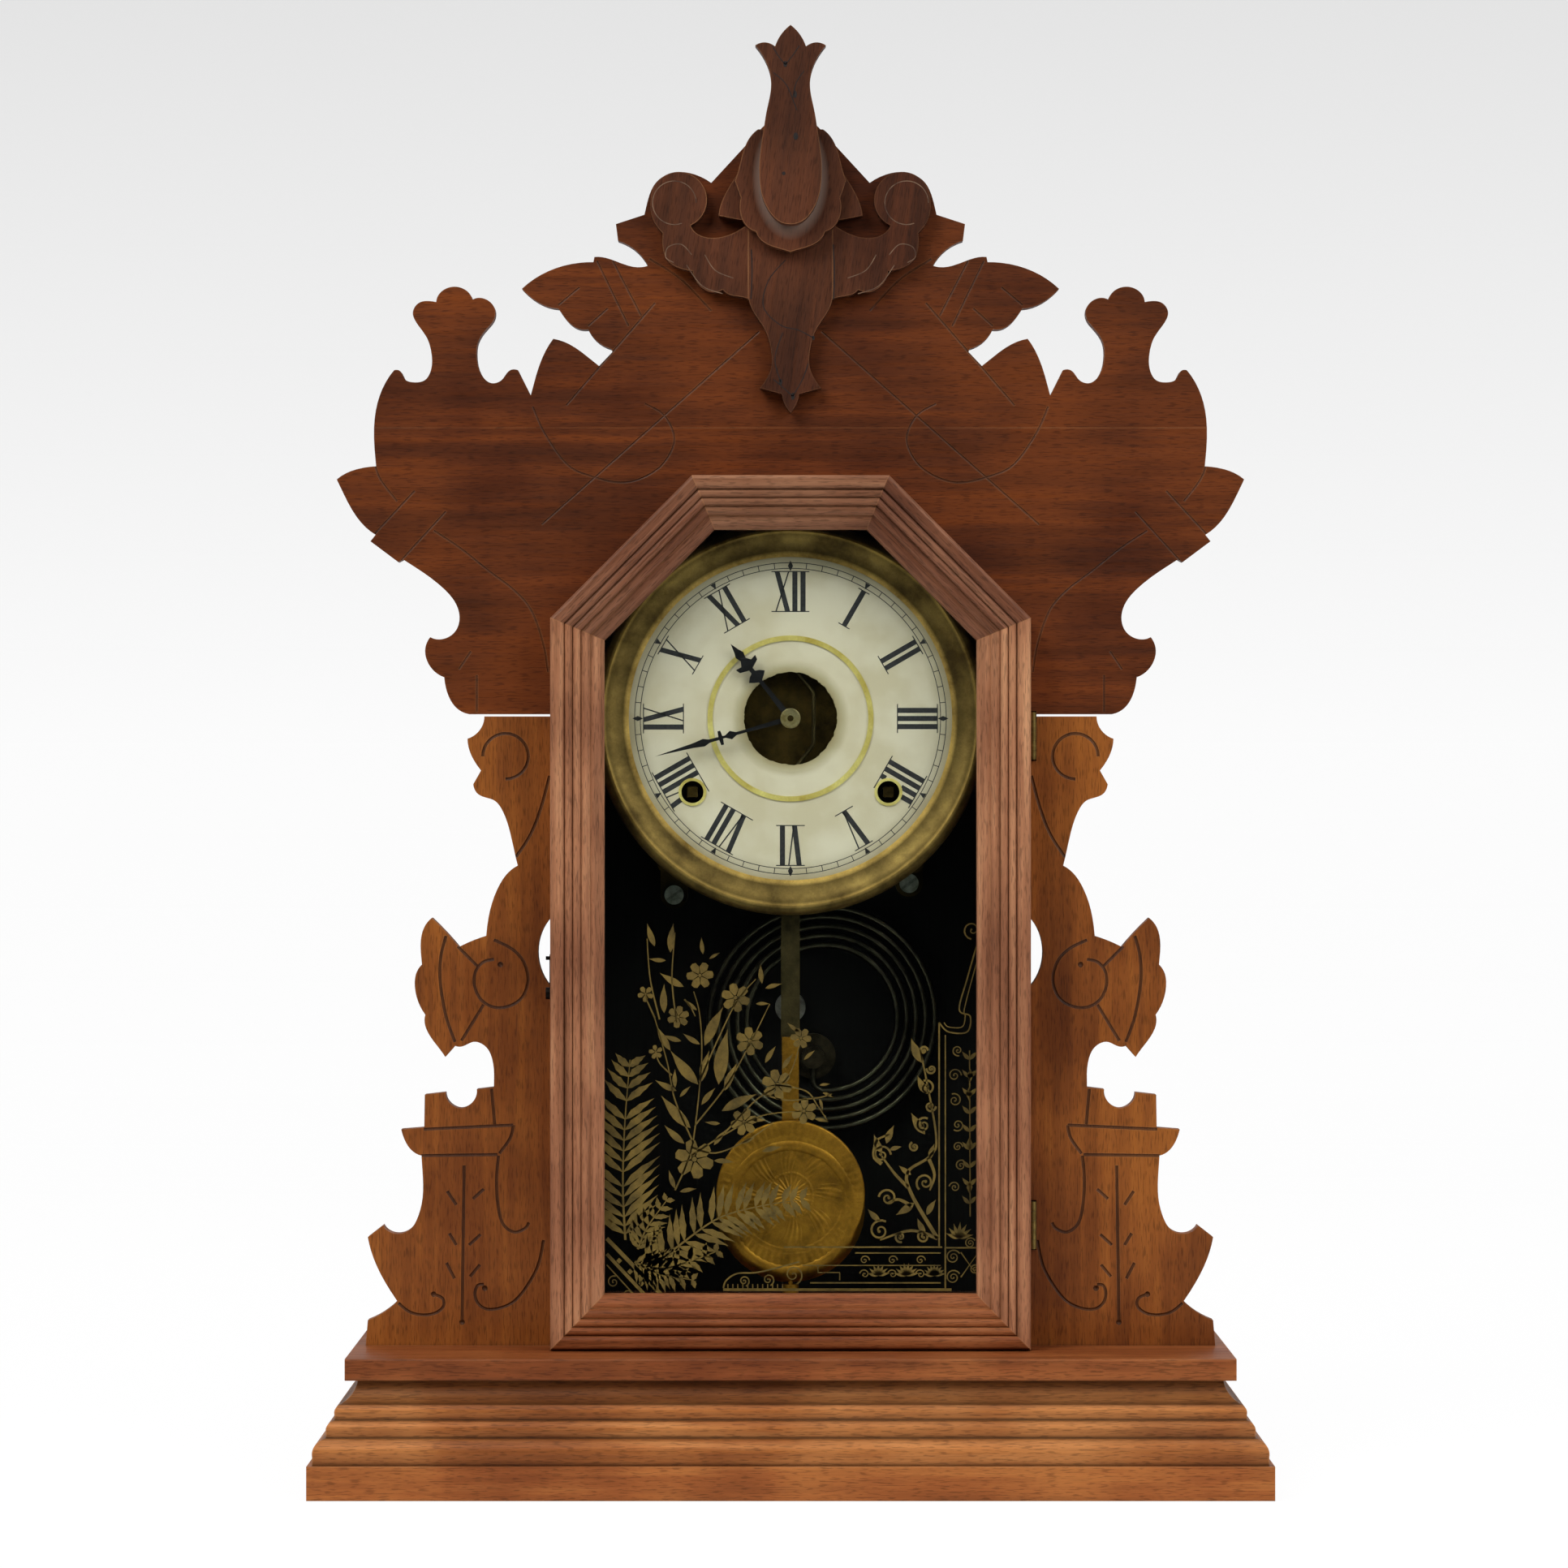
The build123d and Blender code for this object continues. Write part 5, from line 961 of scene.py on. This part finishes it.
cutMarks("wingSeams", wingSeams, "crest_drop", shadowCut)
voluteRim = {"out": 44.7, "up": 492.0, "radius": 8.4, "points": 36, "drawn": 30}
featherLines = (((22, 463), (29, 466), (33, 472)), ((26, 457), (34, 460), (40, 468)),
                ((38, 472), (42, 476), (47, 475), (48, 471), (45, 469)))
# painted highlight along the volute rims and feather cuts
rimMarks = []
for side in (-1, 1):
    rim = circle(side * voluteRim["out"], voluteRim["up"], voluteRim["radius"], voluteRim["points"])
    rimMarks.extend(ribbon(rim[:voluteRim["drawn"]], markSizes["fine"]))
    rimMarks.extend(fineCuts([[(side * x, z) for x, z in points] for points in featherLines]))
cutMarks("wingRimMarks", rimMarks, "volute_wings", litCutEdge)
print("overlay marks are cut")

# embossed bob: fluted rim, beaded ring and a rosette, stamped from one disc
bobSizes = {"radius": 28.9, "middle": 42.3, "rings": 46, "spokes": 240, "flutes": 60, "rim": 22.4,
            "bead": 20.6, "rosette": 9.0, "boss": 7.6, "deep": 1.05, "centre": 0.4, "edge": 3.4,
            "back": 5.6}
bobZ = bobLow.z + bobSizes["middle"] * mm


def embossing(radius, angle):
    rim, bead, rosette, boss = (bobSizes[key] for key in ("rim", "bead", "rosette", "boss"))
    if radius > rim:
        edge = (radius - rim) / (bobSizes["radius"] - rim)
        flute = 0.28 * (0.5 + 0.5 * math.cos(bobSizes["flutes"] * angle))
        return 0.75 - 0.45 * edge ** 2 + flute * math.sin(math.pi * min(edge * 1.02, 1.0)) ** 0.5
    if radius > bead:
        return 0.35 + 0.35 * math.sin(math.pi * (radius - bead) / (rim - bead))
    if radius > rosette:
        petal = abs(math.cos(4 * angle + 0.35 * math.sin(radius / 3)))
        veins = 0.12 * math.cos(48 * angle + 0.8 * radius)
        swell = math.sin(math.pi * (radius - rosette) / (bead - rosette))
        return 0.25 + 0.42 * petal ** 3 * swell + veins
    if radius > boss:
        return 0.55
    return 0.3 + 0.3 * math.cos(radius / boss * math.pi / 2) + 0.18 * math.cos(20 * angle) * radius / boss


bobMesh = bmesh.new()
spokes = bobSizes["spokes"]
angles = [2 * math.pi * spoke / spokes for spoke in range(spokes)]


def bobPoint(radius, angle, behind):
    return bobMesh.verts.new((radius * mm * math.cos(angle), bobLow.y + behind * mm,
                              bobZ + radius * mm * math.sin(angle)))


rows = []
for ring in range(1, bobSizes["rings"] + 1):
    radius = bobSizes["radius"] * ring / bobSizes["rings"]
    rows.append([bobPoint(radius, angle, bobSizes["deep"] - embossing(radius, angle)) for angle in angles])
centre = bobPoint(0, 0, bobSizes["centre"])
backRow = [bobPoint(bobSizes["radius"], angle, bobSizes["edge"]) for angle in angles]
backCentre = bobPoint(0, 0, bobSizes["back"])
for spoke in range(spokes):
    after = (spoke + 1) % spokes
    bobMesh.faces.new((centre, rows[0][after], rows[0][spoke]))
    for inner, outer in zip(rows, rows[1:]):
        bobMesh.faces.new((inner[spoke], inner[after], outer[after], outer[spoke]))
    bobMesh.faces.new((rows[-1][spoke], rows[-1][after], backRow[after], backRow[spoke]))
    bobMesh.faces.new((backRow[spoke], backRow[after], backCentre))
bmesh.ops.recalc_face_normals(bobMesh, faces=bobMesh.faces[:])
bobData = bpy.data.meshes.new("embossedBob")
bobMesh.to_mesh(bobData)
bobMesh.free()
embossedBob = addObject("embossedBob", bobData)
for polygon in bobData.polygons:
    polygon.use_smooth = True
bobData.materials.append(bobBrass)
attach(embossedBob, "pendulum")
print("bob is embossed")


# engraved lines: round-bottomed cuts made with a fine gouge, drawn for one half and mirrored
cuts = {"crest": {"radius": 0.5, "depth": 0.3, "pit": 1.1},
        "panel": {"radius": 0.7, "depth": 0.5, "pit": 1.2}}
carving = {"weld": 0.01 * mm, "leastArea": 0.97, "mostArea": 1.3, "pitRise": 0.3}


def arcPoints(x, z, radius, start, end, steps=20):
    return [(x + radius * math.cos(math.radians(start + (end - start) * i / steps)),
             z + radius * math.sin(math.radians(start + (end - start) * i / steps)))
            for i in range(steps + 1)]


crestLines = [
    [(12, 443), (96, 368.5)],
    [(52.3, 454), (86.5, 414.5)],
    curveThrough([(54.4, 471), (42, 463), (30.6, 451)], 6),
    [(68.6, 470.2), (57.7, 449.2)],
    [(74.7, 470.2), (62.5, 445.1)],
    [(81.5, 460), (89.6, 453.2)],
    [(70.6, 451.9), (78.1, 445.1)],
    curveThrough([(56.2, 415.1), (48.8, 410.6), (44.8, 401.5), (48.8, 392.3), (56.8, 386.6), (65.9, 384.7),
                  (77.3, 387.2), (86.4, 391.8), (94.9, 403.7), (99.5, 414)], 5),
    curveThrough([(160.4, 391.2), (158.1, 385.5), (151.9, 377.5)], 5),
    [(160.4, 365), (145.1, 381.5)],
    [(150.2, 354.7), (133.1, 373.5)],
    curveThrough([(137.7, 366.1), (127.4, 359.3), (116, 350.2), (106.9, 343.3), (100.1, 335.4),
                  (95.5, 322.8), (93.5, 311.5)], 5),
    [(128, 312.6), (123.4, 319.5)],
    [(121.1, 310.3), (121.1, 296.2)],
]
panelLines = [
    arcPoints(110, 279, 8.8, 0, 270, 24),
    curveThrough([(93, 271.5), (96.5, 258.6), (100.5, 248.6), (106, 240.1)], 6),
    curveThrough([(133, 209.6), (135, 201.6), (135.2, 191.6), (133, 178.7), (129.5, 168.7)], 6),
    [(128.5, 205.6), (121, 198.1)],
    [(127, 169.2), (118.5, 183.1)],
    curveThrough([(114.5, 200.6), (118.5, 199.6), (121.5, 196.1), (122, 190.6), (119.5, 185.1),
                  (114.5, 182.1), (108.5, 182.6), (103.5, 186.1), (101.3, 192.6), (103, 199.6),
                  (107.5, 204.6), (114.5, 208.1)], 5),
    [(115.4, 150.6), (114.2, 136.9)],
    [(141.6, 135), (107, 136.6)],
    curveThrough([(107, 136.6), (108.2, 131.6), (112.4, 125.6)], 5),
    [(142.7, 124.8), (113.1, 125.2)],
    curveThrough([(112.7, 124.8), (113.5, 114.9), (112.7, 104.3), (110.8, 98.2), (106.7, 95.3),
                  (102.5, 96.7), (101, 99)], 6),
    curveThrough([(95.3, 92.2), (97.5, 82.3), (102.1, 73.9), (106.7, 68.6), (112, 66), (117.3, 65.6),
                  (120.7, 67.9), (121.8, 71.7), (120.7, 74.7), (118.4, 75.1)], 6),
    curveThrough([(151.4, 67.9), (146.9, 64.4), (141.6, 63.3), (137, 64.1), (134, 66.7), (134.4, 69.8),
                  (137.8, 71.3)], 6),
    [(126, 121), (126.8, 61)],
    [(132.5, 111.1), (129, 105.8)], [(118.4, 111.9), (122.6, 108.1)],
    [(131.7, 94.8), (129, 90.3)], [(119.6, 94.4), (124.1, 90.3)],
    [(132.8, 83.4), (129.7, 77.4)], [(119.9, 82.7), (123.7, 78.1)],
]
pits = {"crest": [(-87.8, 392.7), (-115.4, 398.3)],
        "panel": [(112, 198.6), (118, 73.6), (137.8, 71.3), (126.8, 60.5)]}


def cutterFor(name, lines, size, sign):
    curve = bpy.data.curves.new(name, "CURVE")
    curve.dimensions = "3D"
    curve.bevel_depth = size["radius"] * mm
    curve.bevel_resolution = 2
    curve.use_fill_caps = True
    for points in lines:
        spline = curve.splines.new("POLY")
        spline.points.add(len(points) - 1)
        for point, (x, z) in zip(spline.points, points):
            point.co = (sign * x * mm, boardFront + (size["depth"] - size["radius"]) * mm, z * mm, 1)
    activate(addObject(name, curve))
    bpy.ops.object.convert(target="MESH")
    return bpy.context.object


def engrave(nodeName, cutters, material):
    board = nodes[nodeName].copy()
    board.data = nodes[nodeName].data.copy()
    for key in list(board.keys()):
        del board[key]
    board.parent = None
    board.name = nodeName + "Carved"
    bpy.context.scene.collection.objects.link(board)
    activate(board)
    bpy.ops.object.mode_set(mode="EDIT")
    bpy.ops.mesh.select_all(action="SELECT")
    bpy.ops.mesh.remove_doubles(threshold=carving["weld"])
    bpy.ops.object.mode_set(mode="OBJECT")
    whole = sum(polygon.area for polygon in board.data.polygons)
    for cutter in cutters:
        before = board.data.copy()
        carve = board.modifiers.new("carve", "BOOLEAN")
        carve.operation = "DIFFERENCE"
        carve.solver = "EXACT"
        carve.object = cutter
        applyModifiers(board)
        area = sum(polygon.area for polygon in board.data.polygons)
        if not carving["leastArea"] * whole < area < carving["mostArea"] * whole:
            print("cut left out on", nodeName, cutter.name, round(area / whole, 3))
            board.data = before
    board.data.materials.clear()
    board.data.materials.append(material)
    activate(board)
    bpy.ops.object.shade_flat()
    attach(board, "case")
    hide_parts(nodeName)


def pitCutter(name, places, radius):
    made = []
    for x, z in places:
        deselectAll()
        bpy.ops.mesh.primitive_uv_sphere_add(segments=10, ring_count=8, radius=radius,
                                             location=(x * mm, boardFront - carving["pitRise"] * radius,
                                                       z * mm))
        made.append(bpy.context.object)
    deselectAll()
    for item in made:
        item.select_set(True)
    bpy.context.view_layer.objects.active = made[0]
    bpy.ops.object.join()
    made[0].name = name
    return made[0]


crestCutters = [cutterFor(f"crestCut{sign}{number}", [points], cuts["crest"], sign)
                for sign in (1, -1) for number, points in enumerate(crestLines)]
crestPits = pitCutter("crestPits", pits["crest"], cuts["crest"]["pit"] * mm)


def reaching(cutters, nodeName):
    low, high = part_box(nodeName)
    found = []
    for cutter in cutters:
        corners = [Vector(corner) for corner in cutter.bound_box]
        if (min(c.z for c in corners) < high.z and max(c.z for c in corners) > low.z
                and min(c.x for c in corners) < high.x and max(c.x for c in corners) > low.x):
            found.append(cutter)
    return found


engrave("crest_upper_board", reaching(crestCutters, "crest_upper_board"), crestWalnut)
engrave("crest_lower_board", reaching(crestCutters + [crestPits], "crest_lower_board"), crestWalnut)
for sign, side in ((1, "right"), (-1, "left")):
    panelCutters = [cutterFor(f"panelCut{side}{number}", [points], cuts["panel"], sign)
                    for number, points in enumerate(panelLines)]
    panelPits = [(sign * x, z) for x, z in pits["panel"]]
    panelCutters.append(pitCutter(f"panelPits{side}", panelPits, cuts["panel"]["pit"] * mm))
    engrave(f"side_panel_{side}", panelCutters, panelWalnut)
    for cutter in panelCutters:
        bpy.data.objects.remove(cutter)
for cutter in crestCutters + [crestPits]:
    bpy.data.objects.remove(cutter)
print("boards are engraved")

print("all pieces are in place")
